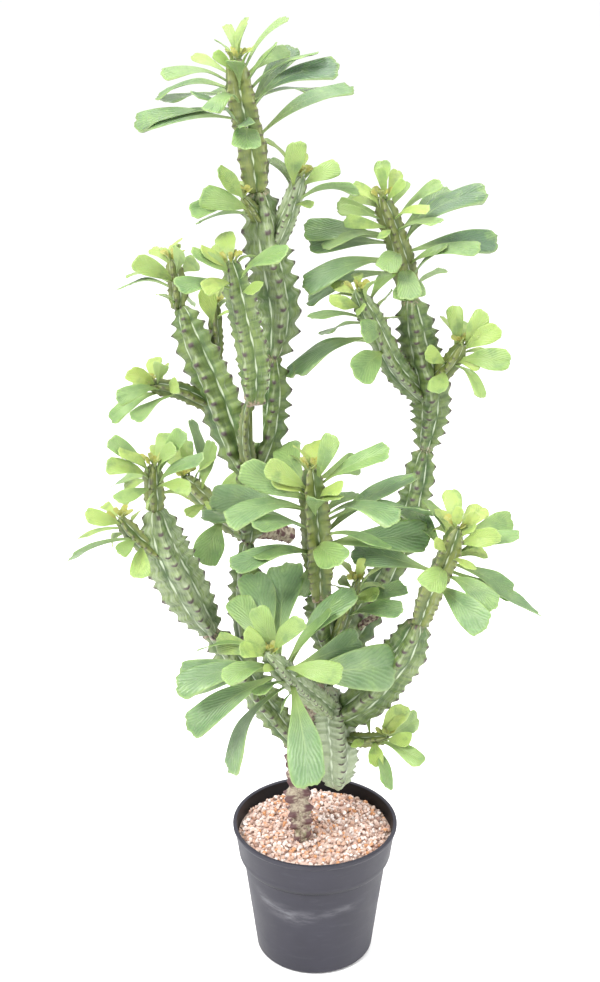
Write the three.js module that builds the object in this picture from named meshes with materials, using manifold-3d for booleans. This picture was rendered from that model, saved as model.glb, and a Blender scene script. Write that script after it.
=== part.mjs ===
// A tall euphorbia in a round nursery pot: ribbed, jointed stems that end in leafy shoots, rooted in
// potting mix under a layer of fine gravel. Millimetres, +Z up. The origin is the middle of the pot's
// underside, and the plant's front faces -Y.
import * as THREE from 'three';
import { mergeVertices } from 'three/addons/utils/BufferGeometryUtils.js';
import Module from 'manifold-3d';

const wasm = await Module();
wasm.setup();
const { Manifold, Mesh } = wasm;

// ---- Driving dimensions ------------------------------------------------------------------------

const clearance = 0.3;           // gap that pieces which touch keep between their faces

// Pot
const potHeight = 166;
const rimRadius = 95;
const rimHeight = 4;
const rimStep = 2.2;             // how far the rim's lip stands out from the band
const bandHeight = 45;           // from the top of the rim to the foot of the band's chamfer
const bandChamfer = 11;
const bandTaper = 4;             // how much narrower the band is at its foot than at its top
const shoulderRadius = 83;       // body just under the band
const baseRadius = 68;
const baseRounding = 3;
const potWall = 2.2;
const potFloor = 3;
const drainHoleCount = 6;
const drainHoleRadius = 5;
const drainRingRadius = 46;
const potSides = 36;

// Potting mix and gravel
const gravelBelowRim = 15;
const gravelDepth = 14;
const gravelCrown = 4;           // how much higher the gravel is heaped in the middle

// Stems
const ribCount = 4;
const valleyShare = 0.66;        // radius in the valley between two ribs, as a share of the rib's
const stemStep = 30;             // distance between two sections along a stem
const seamTolerance = 0.2;       // slivers thinner than this are closed where solids are joined or cut

// Leaves
const leafThickness = 1.8;       // at the keel under the midrib; the edges are thin
const leafArch = 0.07;           // rise of the blade's middle above its chord, as a share of its length
const leafInset = 0.5;           // where a leaf starts inside its stem, as a share of the stem's radius
const light = new THREE.Vector3(0, -0.48, 0.88);   // where it comes from: blades face it
const leafCrowding = 0.7;        // below 1, leaves stand closer together towards the tip of a shoot

// ---- Plant: stems ------------------------------------------------------------------------------
// Each stem has its full radius and the points of its axis from its foot to its tip. A stem comes
// after the one that carries it, which it is trimmed to.

const stems = [
  { name: 'trunk', kind: 'joint', radius: 17,
    path: [[-15, -20, 125], [-15, -20, 165], [-20, -10, 220], [-15, -5, 285], [5, -5, 345]] },
  { name: 'right_base', kind: 'joint', radius: 25,
    path: [[15, -10, 345], [20, -15, 310], [25, -20, 270], [25, -20, 220]] },
  { name: 'left_base', kind: 'joint', radius: 20,
    path: [[-20, -5, 265], [-55, -5, 320], [-85, -20, 380], [-115, -40, 430]] },
  { name: 'left_branch', kind: 'joint', radius: 27,
    path: [[-110, -40, 425], [-130, -50, 465], [-155, -70, 535], [-165, -75, 585]] },
  { name: 'left_riser', kind: 'joint', radius: 17,
    path: [[-75, -15, 385], [-80, 20, 440], [-75, 40, 500]] },
  { name: 'left_node', kind: 'joint', radius: 20,
    path: [[-75, 40, 495], [-75, 40, 540], [-70, 40, 580]] },
  { name: 'mid_left_branch', kind: 'joint', radius: 24,
    path: [[-70, 40, 570], [-85, 45, 600], [-110, 60, 670], [-135, 75, 725], [-145, 85, 755]] },
  { name: 'upper_riser', kind: 'joint', radius: 17,
    path: [[-70, 40, 570], [-55, 40, 610], [-45, 40, 665], [-45, 35, 715]] },
  { name: 'upper_branch', kind: 'joint', radius: 25,
    path: [[-45, 35, 710], [-40, 35, 755], [-50, 25, 825], [-60, 15, 895]] },
  { name: 'front_riser', kind: 'shoot', radius: 9,
    path: [[-70, 40, 575], [-75, 15, 625], [-70, -10, 680]] },
  { name: 'centre_riser', kind: 'joint', radius: 16,
    path: [[-15, 5, 270], [0, 20, 305], [10, 20, 345], [15, 5, 385]] },
  { name: 'centre_branch', kind: 'joint', radius: 21,
    path: [[15, 5, 380], [10, -10, 420], [5, -30, 470]] },
  { name: 'right_riser', kind: 'joint', radius: 21,
    path: [[15, 15, 350], [40, 35, 385], [65, 55, 425], [95, 70, 475]] },
  { name: 'right_node', kind: 'joint', radius: 18,
    path: [[95, 70, 465], [110, 80, 535], [120, 80, 595]] },
  { name: 'upper_right_branch', kind: 'joint', radius: 24,
    path: [[120, 80, 590], [125, 80, 645], [110, 70, 715], [100, 70, 770]] },
  { name: 'right_branch', kind: 'joint', radius: 26,
    path: [[20, -10, 300], [60, -30, 345], [95, -45, 405], [110, -55, 450]] },
  { name: 'cut_stub', kind: 'wood', radius: 11,
    path: [[-75, 40, 515], [-45, 55, 505], [-25, 65, 495]] },
  { name: 'dry_twig', kind: 'wood', radius: 4,
    path: [[40, 40, 385], [55, 20, 410], [70, 0, 430]] },
];

// ---- Plant: leafy shoots -----------------------------------------------------------------------
// A shoot is a slim ribbed stem with a bud at its tip. Its leaves go from the lowest to the highest,
// between the share of the stem's length where they begin and its tip. Each leaf has the compass
// heading of its tip (0 is +X, 90 is +Y), its lift above level and its twist in degrees, and its
// length and width.

const shoots = [
  { name: 'top_shoot', radius: 16, leavesFrom: 0.4,
    path: [[-60, 15, 890], [-65, 10, 935], [-75, 5, 985], [-80, 0, 1025]],
    leaves: [
      [30, 25, 120, 38, 0], [225, 40, 80, 22, 30], [270, 0, 80, 44, -15], [270, 10, 75, 26, 45],
      [165, -5, 110, 38, 0], [60, 35, 95, 34, 15], [330, 30, 105, 38, 0], [165, -10, 105, 38, 15],
      [45, 5, 100, 36, -15], [255, 5, 85, 28, 0], [120, 0, 80, 28, -15], [150, -5, 90, 34, 30],
      [330, 30, 90, 34, -15], [150, -5, 90, 34, 15], [270, 35, 55, 28, 0], [315, 40, 60, 22, 15],
      [210, 15, 75, 26, 15], [45, 20, 70, 24, 30], [150, 20, 50, 20, -15], [45, 45, 75, 18, -30],
      [240, 35, 35, 16, -75], [300, 50, 35, 14, -15], [105, 60, 45, 16, 15], [75, 55, 50, 18, -30],
      [300, 65, 40, 18, -30], [135, 35, 30, 14, 30],
    ] },
  { name: 'upper_right_shoot', radius: 12, leavesFrom: 0.65,
    path: [[-45, 25, 830], [-30, 15, 870], [-15, 5, 910]],
    leaves: [
      [315, 15, 25, 10, 15], [330, 15, 70, 24, -45], [120, 20, 60, 22, 45], [120, 30, 50, 20, 30],
      [270, 65, 50, 24, -15], [330, 35, 45, 20, 45], [135, 45, 55, 20, 45], [45, 15, 40, 16, -30],
      [90, 35, 35, 14, 0],
    ] },
  { name: 'upper_left_shoot', radius: 8, leavesFrom: 0.55,
    path: [[-55, 20, 855], [-65, 5, 875], [-75, -5, 890]],
    leaves: [
      [210, -5, 60, 22, 60], [225, 20, 60, 26, -60], [210, 0, 60, 22, 0], [105, 10, 45, 20, 0],
      [240, 40, 50, 24, -75],
    ] },
  { name: 'mid_left_shoot', radius: 11, leavesFrom: 0.15,
    path: [[-150, 85, 750], [-150, 90, 775], [-155, 90, 805]],
    leaves: [
      [240, 25, 35, 14, 30], [75, -30, 45, 20, 45], [150, -5, 70, 24, 30], [150, 10, 60, 22, 30],
      [225, 35, 55, 24, -60], [60, 15, 40, 24, 30], [285, 50, 40, 20, -60], [120, 40, 30, 14, 0],
      [135, 25, 35, 14, -15], [90, 30, 30, 16, 0], [75, 40, 30, 14, -45],
    ] },
  { name: 'inner_left_shoot', radius: 9, leavesFrom: 0.7,
    path: [[-110, 65, 685], [-110, 85, 715], [-110, 95, 755]],
    leaves: [
      [225, 75, 45, 24, -15], [300, 30, 30, 14, 15], [75, 20, 30, 12, 0], [105, 55, 30, 20, 0],
      [75, 30, 30, 14, -15],
    ] },
  { name: 'front_upper_shoot', radius: 18, leavesFrom: 0.8,
    path: [[-65, -10, 675], [-65, -25, 725], [-75, -35, 785], [-85, -40, 835]],
    leaves: [
      [300, 20, 45, 20, 30], [225, 15, 75, 26, 0], [240, 15, 50, 20, -15], [315, 35, 75, 26, 15],
      [120, 20, 50, 28, -30], [225, 35, 55, 20, -45], [225, 35, 45, 20, -30], [60, 5, 40, 16, -30],
      [105, 40, 40, 24, 0], [90, 20, 35, 14, 45],
    ] },
  { name: 'side_left_shoot', radius: 11, leavesFrom: 0.6,
    path: [[-115, 60, 650], [-145, 50, 670], [-180, 40, 680]],
    leaves: [
      [225, -15, 60, 22, 30], [285, 20, 40, 20, 75], [195, -20, 65, 24, 0], [90, 25, 35, 14, -15],
      [225, 5, 55, 20, -15], [285, 55, 35, 20, -60], [225, 35, 40, 22, -60], [90, 30, 40, 20, 0],
      [135, -10, 30, 14, -45],
    ] },
  { name: 'left_shoot', radius: 12, leavesFrom: 0.35,
    path: [[-165, -75, 580], [-165, -75, 605], [-165, -80, 635]],
    leaves: [
      [45, -20, 45, 20, -15], [270, 5, 45, 20, 45], [240, 5, 55, 20, -30], [315, 20, 50, 20, 15],
      [330, 35, 70, 24, 15], [135, -25, 45, 20, -60], [135, -25, 65, 24, -15],
      [225, 30, 60, 22, -15], [330, 60, 60, 22, 15], [315, 60, 45, 20, 0], [225, 45, 50, 20, -15],
      [225, 45, 60, 22, -45], [90, 15, 45, 20, 0], [75, 25, 50, 22, 15], [105, -5, 25, 10, 0],
    ] },
  { name: 'far_left_shoot', radius: 11, leavesFrom: 0.55,
    path: [[-145, -65, 515], [-180, -80, 550], [-200, -90, 580]],
    leaves: [
      [270, -15, 45, 26, 0], [255, 5, 45, 20, 0], [225, 0, 75, 26, 75], [135, -35, 40, 16, -30],
      [75, 10, 35, 14, -15], [165, -20, 50, 20, 15], [90, 10, 40, 16, -30], [225, 25, 45, 22, -45],
      [120, 5, 35, 14, -15],
    ] },
  { name: 'back_left_shoot', radius: 14, leavesFrom: 0.35,
    path: [[-75, 40, 505], [-115, 65, 530], [-150, 80, 560]],
    leaves: [
      [255, -25, 65, 38, -15], [345, 60, 50, 20, 0], [240, 5, 40, 16, -15], [300, -15, 40, 16, -15],
      [330, 75, 60, 22, 15], [105, 60, 75, 26, 45], [330, 55, 45, 20, -30], [105, 45, 50, 20, 0],
      [120, 35, 45, 28, -15],
    ] },
  { name: 'centre_shoot', radius: 16, leavesFrom: 0.3,
    path: [[5, -30, 460], [0, -50, 550], [-5, -60, 625]],
    leaves: [
      [120, -65, 55, 24, -45], [225, 20, 75, 26, 0], [210, 5, 95, 34, 0], [0, 5, 110, 38, 15],
      [285, 5, 65, 38, 30], [15, 35, 115, 40, -15], [330, 5, 80, 28, -15], [165, 0, 120, 44, 75],
      [225, 20, 85, 28, 15], [0, 5, 115, 44, -30], [45, 15, 60, 22, 0], [330, 15, 95, 34, -30],
      [270, 40, 55, 26, 15], [165, 0, 110, 38, -15], [210, 10, 95, 34, 15], [135, 5, 60, 28, -30],
      [300, 30, 40, 20, 15], [195, 30, 80, 34, -45], [315, 30, 40, 20, 15], [210, 30, 45, 20, 0],
      [120, 20, 75, 38, -30], [210, 40, 60, 26, -45], [345, 30, 85, 28, 0], [45, 5, 65, 28, 30],
      [315, 70, 55, 22, 30], [120, 15, 40, 16, 45], [105, 10, 30, 14, -15], [90, 25, 40, 28, 0],
      [120, 30, 35, 14, 30],
    ] },
  { name: 'front_shoot', radius: 15, leavesFrom: 0.6,
    path: [[20, -10, 310], [5, -45, 345], [-25, -95, 400], [-50, -135, 450]],
    leaves: [
      [255, 0, 50, 20, 60], [195, -50, 115, 40, 45], [285, -35, 115, 44, 0], [15, -5, 115, 58, 30],
      [240, 10, 55, 20, 30], [30, 10, 90, 38, 30], [30, 50, 105, 38, -30], [195, -25, 110, 38, 0],
      [195, 5, 105, 34, 0], [0, 55, 75, 26, -15], [330, 10, 65, 28, 30], [90, 35, 120, 48, 0],
      [165, -15, 105, 44, -30], [240, 25, 25, 10, -30], [105, 30, 115, 44, 0], [225, 5, 65, 24, 0],
      [210, 75, 60, 26, -15], [120, 30, 80, 34, -15], [225, 50, 45, 20, -45], [315, 60, 60, 22, 15],
      [150, 5, 65, 28, -30], [225, 35, 45, 20, -15], [150, -5, 80, 28, 30],
    ] },
  { name: 'right_shoot', radius: 15, leavesFrom: 0.45,
    path: [[110, -55, 445], [120, -65, 485], [135, -75, 530], [145, -85, 570]],
    leaves: [
      [300, -5, 85, 34, 30], [150, 5, 100, 36, -30], [315, -5, 70, 26, 15], [0, -30, 110, 40, -15],
      [255, 5, 60, 32, -30], [15, -30, 80, 28, 0], [30, -5, 45, 20, -15], [120, 20, 80, 28, 15],
      [300, 10, 40, 16, 0], [345, 25, 70, 24, 0], [240, 35, 35, 14, -30], [105, 30, 65, 24, 30],
      [30, -10, 40, 20, -30], [105, 5, 40, 20, 0], [330, 30, 50, 24, 45], [105, 25, 40, 20, 0],
      [315, 50, 30, 14, 0], [30, 5, 65, 28, 30], [90, 55, 45, 24, 0], [45, 20, 45, 28, 15],
      [330, 55, 30, 14, 45], [285, 70, 30, 14, 0],
    ] },
  { name: 'low_right_shoot', radius: 9, leavesFrom: 0.55,
    path: [[30, -10, 280], [55, -40, 295], [80, -60, 310]],
    leaves: [
      [255, 20, 30, 14, 0], [105, 45, 55, 20, 15], [285, -15, 70, 24, -30], [270, -10, 40, 20, 0],
      [315, 5, 60, 22, 0], [345, 60, 45, 26, 30], [345, 50, 35, 14, 30], [45, 0, 55, 28, 30],
      [315, 20, 35, 20, 30],
    ] },
  { name: 'small_centre_shoot', radius: 8, leavesFrom: 0.65,
    path: [[15, 5, 375], [30, -30, 435], [45, -40, 490]],
    leaves: [
      [330, 20, 70, 24, 0], [30, 10, 70, 24, 15], [120, 10, 35, 14, 30], [315, 30, 40, 20, 30],
      [45, -5, 40, 16, -30], [120, 0, 30, 14, -30], [345, 45, 40, 16, -30], [120, 20, 40, 16, 15],
      [15, 75, 25, 14, 0],
    ] },
  { name: 'right_top_shoot', radius: 14, leavesFrom: 0.1,
    path: [[100, 70, 765], [85, 60, 825], [65, 55, 880]],
    leaves: [
      [45, 15, 55, 20, -30], [270, 5, 60, 44, 0], [315, 40, 60, 20, 0], [165, -20, 105, 38, 0],
      [270, -5, 65, 34, 0], [330, 20, 80, 28, 15], [180, -5, 90, 34, 15], [195, -10, 100, 36, 0],
      [0, 10, 95, 34, 15], [255, 0, 60, 34, -15], [30, 40, 95, 34, -30], [345, 40, 100, 38, 0],
      [180, 0, 85, 32, -15], [180, 5, 90, 34, -15], [45, 30, 80, 28, 30], [195, -5, 70, 24, 0],
      [315, 20, 60, 24, 0], [255, 5, 45, 16, 0], [210, 15, 50, 20, -60], [0, 45, 60, 22, -15],
      [315, 25, 50, 16, 15], [195, 15, 50, 20, 0], [165, 15, 50, 20, -30], [60, 35, 45, 24, 15],
      [135, 15, 45, 28, -30], [195, 50, 40, 20, 0], [60, 50, 40, 20, 15], [315, 45, 35, 14, 60],
      [240, 75, 35, 16, -15], [90, 60, 40, 24, 0],
    ] },
  { name: 'inner_right_shoot', radius: 15, leavesFrom: 0.55,
    path: [[120, 80, 650], [85, 55, 695], [60, 30, 750], [40, 20, 790]],
    leaves: [
      [240, -5, 60, 38, -30], [180, -15, 100, 36, 30], [195, -15, 90, 32, 15], [60, 5, 40, 16, -30],
      [255, 15, 55, 28, -75], [150, -20, 60, 24, 15], [60, 20, 40, 20, -45], [195, 10, 60, 24, 15],
      [255, 25, 45, 16, 60], [60, 30, 55, 20, 0], [210, 20, 40, 20, -45], [285, 50, 35, 14, 0],
      [135, 0, 40, 16, 0], [135, 15, 35, 20, -30], [90, 25, 30, 14, 15],
    ] },
  { name: 'far_right_shoot', radius: 11, leavesFrom: 0.5,
    path: [[115, 75, 665], [140, 60, 695], [155, 45, 725]],
    leaves: [
      [255, -15, 40, 24, 0], [225, 30, 40, 20, -75], [315, -25, 50, 20, -15], [315, 0, 30, 12, 15],
      [330, 10, 60, 28, 45], [105, 45, 45, 20, 45], [15, -5, 35, 14, 0], [255, 85, 45, 20, 0],
      [330, 40, 50, 24, 45], [75, 25, 35, 20, 0], [315, 55, 45, 24, 60],
    ] },
];

// ---- Solids ------------------------------------------------------------------------------------

function solidFrom(geometry) {
  const bare = new THREE.BufferGeometry();
  bare.setAttribute('position', geometry.getAttribute('position'));
  bare.setIndex(geometry.getIndex());
  const merged = mergeVertices(bare, 1e-4);
  const corners = merged.getIndex().array;
  const triangles = [];
  for (let i = 0; i < corners.length; i += 3) {
    const [a, b, c] = corners.slice(i, i + 3);
    if (a !== b && b !== c && c !== a) triangles.push(a, b, c);
  }
  return new Manifold(new Mesh({
    numProp: 3,
    vertProperties: new Float32Array(merged.getAttribute('position').array),
    triVerts: new Uint32Array(triangles),
  }));
}

function geometryFrom(solid) {
  const { vertProperties, triVerts } = solid.getMesh();
  const geometry = new THREE.BufferGeometry();
  geometry.setAttribute('position', new THREE.BufferAttribute(vertProperties, 3));
  geometry.setIndex(new THREE.BufferAttribute(triVerts, 1));
  geometry.computeVertexNormals();
  return geometry;
}

function largestPiece(solid) {
  const pieces = solid.decompose();
  pieces.sort((first, second) => second.volume() - first.volume());
  return pieces[0];
}

// A closed skin over rings of points that all have as many points, with a flat cap at each end.
function skinOver(rings) {
  const sides = rings[0].length;
  const lastRing = (rings.length - 1) * sides;
  const positions = [];
  const indices = [];
  rings.flat().forEach((point) => positions.push(point.x, point.y, point.z));
  for (let ring = 0; ring < lastRing; ring += sides) {
    for (let side = 0; side < sides; side += 1) {
      const near = ring + side;
      const next = ring + (side + 1) % sides;
      indices.push(near, next, near + sides, next, next + sides, near + sides);
    }
  }
  for (let side = 1; side + 1 < sides; side += 1) {
    indices.push(0, side + 1, side);
    indices.push(lastRing, lastRing + side, lastRing + side + 1);
  }
  const geometry = new THREE.BufferGeometry();
  geometry.setAttribute('position', new THREE.Float32BufferAttribute(positions, 3));
  geometry.setIndex(indices);
  return solidFrom(geometry);
}

// The value at a place along a list of [place, value] pairs.
function along(pairs, place) {
  for (let i = 1; i < pairs.length; i += 1) {
    const [from, low] = pairs[i - 1];
    const [to, high] = pairs[i];
    if (place <= to) return low + (high - low) * (place - from) / (to - from);
  }
  return pairs[pairs.length - 1][1];
}

// ---- Pot, potting mix and gravel ---------------------------------------------------------------

const bandRadius = rimRadius - rimStep;
const bandFootRadius = bandRadius - bandTaper;
const shoulderHeight = potHeight - bandHeight;
const gravelTop = potHeight - gravelBelowRim;
const mixTop = gravelTop - gravelDepth - clearance;

// The wall's inside radius at a height, as [height, radius] pairs from the floor to the rim.
const potInside = [
  [potFloor, baseRadius - potWall],
  [shoulderHeight, shoulderRadius - potWall],
  [shoulderHeight + bandChamfer, bandFootRadius - potWall],
  [potHeight, bandRadius - potWall],
];

function turned(profile) {
  const points = profile.map(([radius, height]) => new THREE.Vector2(radius, height));
  const geometry = new THREE.LatheGeometry(points, potSides);
  geometry.rotateX(Math.PI / 2);
  return solidFrom(geometry);
}

function makePot() {
  const outside = [
    [0, 0],
    [baseRadius - baseRounding, 0],
    [baseRadius, baseRounding],
    [shoulderRadius, shoulderHeight],
    [bandFootRadius, shoulderHeight + bandChamfer],
    [bandRadius, potHeight - rimHeight - rimStep],
    [rimRadius, potHeight - rimHeight],
    [rimRadius, potHeight],
  ];
  const inside = potInside.map(([height, radius]) => [radius, height]).reverse();
  let pot = turned([...outside, ...inside, [0, potFloor]]);
  for (let hole = 0; hole < drainHoleCount; hole += 1) {
    const angle = 2 * Math.PI * (hole + 0.5) / drainHoleCount;
    const cutter = new THREE.CylinderGeometry(drainHoleRadius, drainHoleRadius, 3 * potFloor, 12);
    cutter.rotateX(Math.PI / 2);
    cutter.translate(drainRingRadius * Math.cos(angle), drainRingRadius * Math.sin(angle), 0);
    pot = pot.subtract(solidFrom(cutter));
  }
  return pot;
}

// A filling that lies in the pot between two heights, with a little room all round.
function makeFilling(bottom, top, crown) {
  const side = potInside
    .filter(([height]) => height > bottom && height < top)
    .map(([height, radius]) => [radius - clearance, height]);
  return turned([
    [0, bottom],
    [along(potInside, bottom) - clearance, bottom],
    ...side,
    [along(potInside, top) - clearance, top],
    [along(potInside, top) * 0.6, top + crown * 0.8],
    [0, top + crown],
  ]);
}

// ---- Stems -------------------------------------------------------------------------------------

// Share of the full radius along a stem, as [place, share] pairs.
const stemShapes = {
  wood: [[0, 1], [1, 0.85]],
  joint: [[0, 0.42], [0.2, 0.85], [0.4, 1], [0.8, 0.9], [1, 0.5]],
  shoot: [[0, 0.6], [0.35, 1], [0.85, 0.8], [1, 0.3]],
};

function axisOf(path) {
  return new THREE.CatmullRomCurve3(path.map((point) => new THREE.Vector3(...point)));
}

// A ribbed stem. swelling makes it fatter and longer all round, for trimming what stands against it.
function makeStem({ path, radius, kind = 'shoot' }, swelling = 0) {
  const axis = axisOf(path);
  const steps = Math.max(3, Math.round(axis.getLength() / stemStep));
  const frames = axis.computeFrenetFrames(steps, false);
  const corners = 2 * ribCount;
  const rings = [];
  for (let step = 0; step <= steps; step += 1) {
    const place = step / steps;
    const middle = axis.getPointAt(place);
    if (step === 0) middle.addScaledVector(frames.tangents[0], -swelling);
    if (step === steps) middle.addScaledVector(frames.tangents[steps], swelling);
    const ring = [];
    for (let corner = 0; corner < corners; corner += 1) {
      const angle = 2 * Math.PI * corner / corners;
      const share = corner % 2 === 0 ? 1 : valleyShare;
      const reach = radius * along(stemShapes[kind], place) * share + swelling;
      ring.push(middle.clone()
        .addScaledVector(frames.normals[step], reach * Math.cos(angle))
        .addScaledVector(frames.binormals[step], reach * Math.sin(angle)));
    }
    rings.push(ring);
  }
  return skinOver(rings);
}

// ---- Leaves ------------------------------------------------------------------------------------

// Share of the full width along a leaf: a stalk-like foot that widens to a blunt, rounded end.
const leafOutline = [[0, 0.2], [0.75, 1], [1, 0.6]];

function makeLeaf(shoot, place, [heading, lift, length, width, twist], swelling = 0) {
  const axis = axisOf(shoot.path);
  const turn = THREE.MathUtils.degToRad(heading);
  const rise = THREE.MathUtils.degToRad(lift);
  const chord = new THREE.Vector3(
    Math.cos(turn) * Math.cos(rise),
    Math.sin(turn) * Math.cos(rise),
    Math.sin(rise),
  );
  const tangent = axis.getTangentAt(place);
  const outward = chord.clone().addScaledVector(tangent, -chord.dot(tangent)).normalize();
  const reach = shoot.radius * along(stemShapes.shoot, place) * leafInset;
  const foot = axis.getPointAt(place).addScaledVector(outward, reach);

  const across = new THREE.Vector3().crossVectors(chord, light).normalize();
  across.applyAxisAngle(chord, THREE.MathUtils.degToRad(twist));
  const face = new THREE.Vector3().crossVectors(across, chord);
  const rings = leafOutline.map(([share, breadth]) => {
    const middle = foot.clone()
      .addScaledVector(chord, share * length)
      .addScaledVector(face, leafArch * length * Math.sin(Math.PI * share));
    const half = width * breadth / 2 + 2 * swelling;
    const at = (sideways, upward) => middle.clone()
      .addScaledVector(across, sideways)
      .addScaledVector(face, upward);
    return [at(half, swelling), at(0, -leafThickness - swelling), at(-half, swelling)];
  });
  return skinOver(rings);
}

// Ways a leaf may turn aside where another piece is in its way: degrees of heading and of lift.
const waysAside = [
  [0, 0], [12, 0], [-12, 0], [0, 12], [0, -12], [24, 0], [-24, 0], [0, 24], [0, -24],
  [18, 18], [-18, 18], [18, -18], [-18, -18], [36, 0], [-36, 0], [0, 36],
];

function boxesMeet(first, second) {
  return [0, 1, 2].every((i) => first.min[i] <= second.max[i] && second.min[i] <= first.max[i]);
}

// The parts of other pieces, swollen by the clearance, that a solid runs into.
function inTheWayOf(solid, owner, obstacles) {
  const box = solid.boundingBox();
  return obstacles
    .filter((other) => other.owner !== owner && boxesMeet(box, other.box))
    .filter((other) => solid.intersect(other.solid).volume() > 0);
}

function noteObstacle(obstacles, owner, solid) {
  obstacles.push({ owner, solid, box: solid.boundingBox() });
}

// A shoot's stem with its leaves, each turned aside where it must be and cut short if that fails.
function growLeaves(shoot, stem, obstacles) {
  let grown = stem;
  const last = shoot.leaves.length - 1;
  shoot.leaves.forEach((leaf, index) => {
    const place = shoot.leavesFrom + (0.98 - shoot.leavesFrom) * (index / last) ** leafCrowding;
    const tries = waysAside.map(([aside, higher]) => {
      const [heading, lift, ...rest] = leaf;
      return [heading + aside, lift + higher, ...rest];
    });
    const isFree = (way) => inTheWayOf(makeLeaf(shoot, place, way), shoot.name, obstacles).length === 0;
    const chosen = tries.find(isFree) ?? leaf;
    let blade = makeLeaf(shoot, place, chosen);
    inTheWayOf(blade, shoot.name, obstacles).forEach((other) => {
      blade = blade.subtract(other.solid);
    });
    noteObstacle(obstacles, shoot.name, makeLeaf(shoot, place, chosen, clearance));
    grown = grown.add(blade);
  });
  return largestPiece(grown.simplify(seamTolerance));
}

// ---- The plant in its pot ----------------------------------------------------------------------

const colours = {
  pot: ['#3b3d43', 0.55],
  gravel: ['#d8b8a0', 0.9],
  mix: ['#3a2a20', 0.95],
  wood: ['#6f5546', 0.85],
  joint: ['#66834f', 0.6],
  shoot: ['#83b259', 0.5],
};
const plantInPot = new THREE.Group();

function addPiece(name, solid, look) {
  const [color, roughness] = colours[look];
  const material = new THREE.MeshStandardMaterial({ color, roughness, metalness: 0 });
  const mesh = new THREE.Mesh(geometryFrom(solid), material);
  mesh.name = name;
  plantInPot.add(mesh);
}

// Every stem is trimmed to those before it, so that it stands against the one that carries it.
const obstacles = [];
const trimmed = new Map();
[...stems, ...shoots].forEach((stem) => {
  let solid = makeStem(stem);
  inTheWayOf(solid, stem.name, obstacles).forEach((other) => {
    solid = solid.subtract(other.solid);
  });
  trimmed.set(stem.name, largestPiece(solid.simplify(seamTolerance)));
  noteObstacle(obstacles, stem.name, makeStem(stem, clearance));
});
const rooted = Manifold.union(obstacles.map((other) => other.solid));

const pot = makePot();
const mix = makeFilling(potFloor + clearance, mixTop, 0).subtract(rooted);
const gravel = makeFilling(gravelTop - gravelDepth, gravelTop, gravelCrown).subtract(rooted);
noteObstacle(obstacles, 'pot', pot);
noteObstacle(obstacles, 'gravel', gravel);

addPiece('pot', pot, 'pot');
addPiece('potting_mix', mix, 'mix');
addPiece('gravel', gravel, 'gravel');
stems.forEach((stem) => addPiece(stem.name, trimmed.get(stem.name), stem.kind));
shoots.forEach((shoot) => {
  addPiece(shoot.name, growLeaves(shoot, trimmed.get(shoot.name), obstacles), 'shoot');
});

export default plantInPot;
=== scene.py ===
"""A tall euphorbia in a round nursery pot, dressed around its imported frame.

The growth tables are in millimetres and are scaled by MM; everything else is in metres. The plant's
front faces -Y. Every leaf, rib and tooth is real geometry, and every finish is made of shader nodes.
"""

import math

import bmesh
import bpy
import numpy as np
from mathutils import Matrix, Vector


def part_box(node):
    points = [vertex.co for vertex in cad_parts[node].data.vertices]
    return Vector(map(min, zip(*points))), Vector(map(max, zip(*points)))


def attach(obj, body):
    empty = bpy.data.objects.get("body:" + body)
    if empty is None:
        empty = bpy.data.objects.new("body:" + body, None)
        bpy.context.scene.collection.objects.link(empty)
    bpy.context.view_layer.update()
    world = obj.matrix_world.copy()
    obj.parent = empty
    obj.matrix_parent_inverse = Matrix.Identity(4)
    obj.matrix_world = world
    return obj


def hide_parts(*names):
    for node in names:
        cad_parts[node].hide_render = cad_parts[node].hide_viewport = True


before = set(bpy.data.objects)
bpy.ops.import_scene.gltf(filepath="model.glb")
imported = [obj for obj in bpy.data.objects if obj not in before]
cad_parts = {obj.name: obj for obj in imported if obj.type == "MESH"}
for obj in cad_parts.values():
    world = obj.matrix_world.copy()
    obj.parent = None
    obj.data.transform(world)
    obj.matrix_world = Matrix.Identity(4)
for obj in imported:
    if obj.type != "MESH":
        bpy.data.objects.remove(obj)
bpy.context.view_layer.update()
MM = 0.001
rng = np.random.default_rng(7)

# ---- Growth: what the plant's solids are made from, in millimetres ------------------------------
# A stem has its full radius and the points of its axis from its foot to its tip.

def grown(name, radius, path, **more):
    """A row of the tables: a stem, or a shoot with its leaves."""
    return {"name": name, "radius": radius, "path": path, **more}


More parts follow.
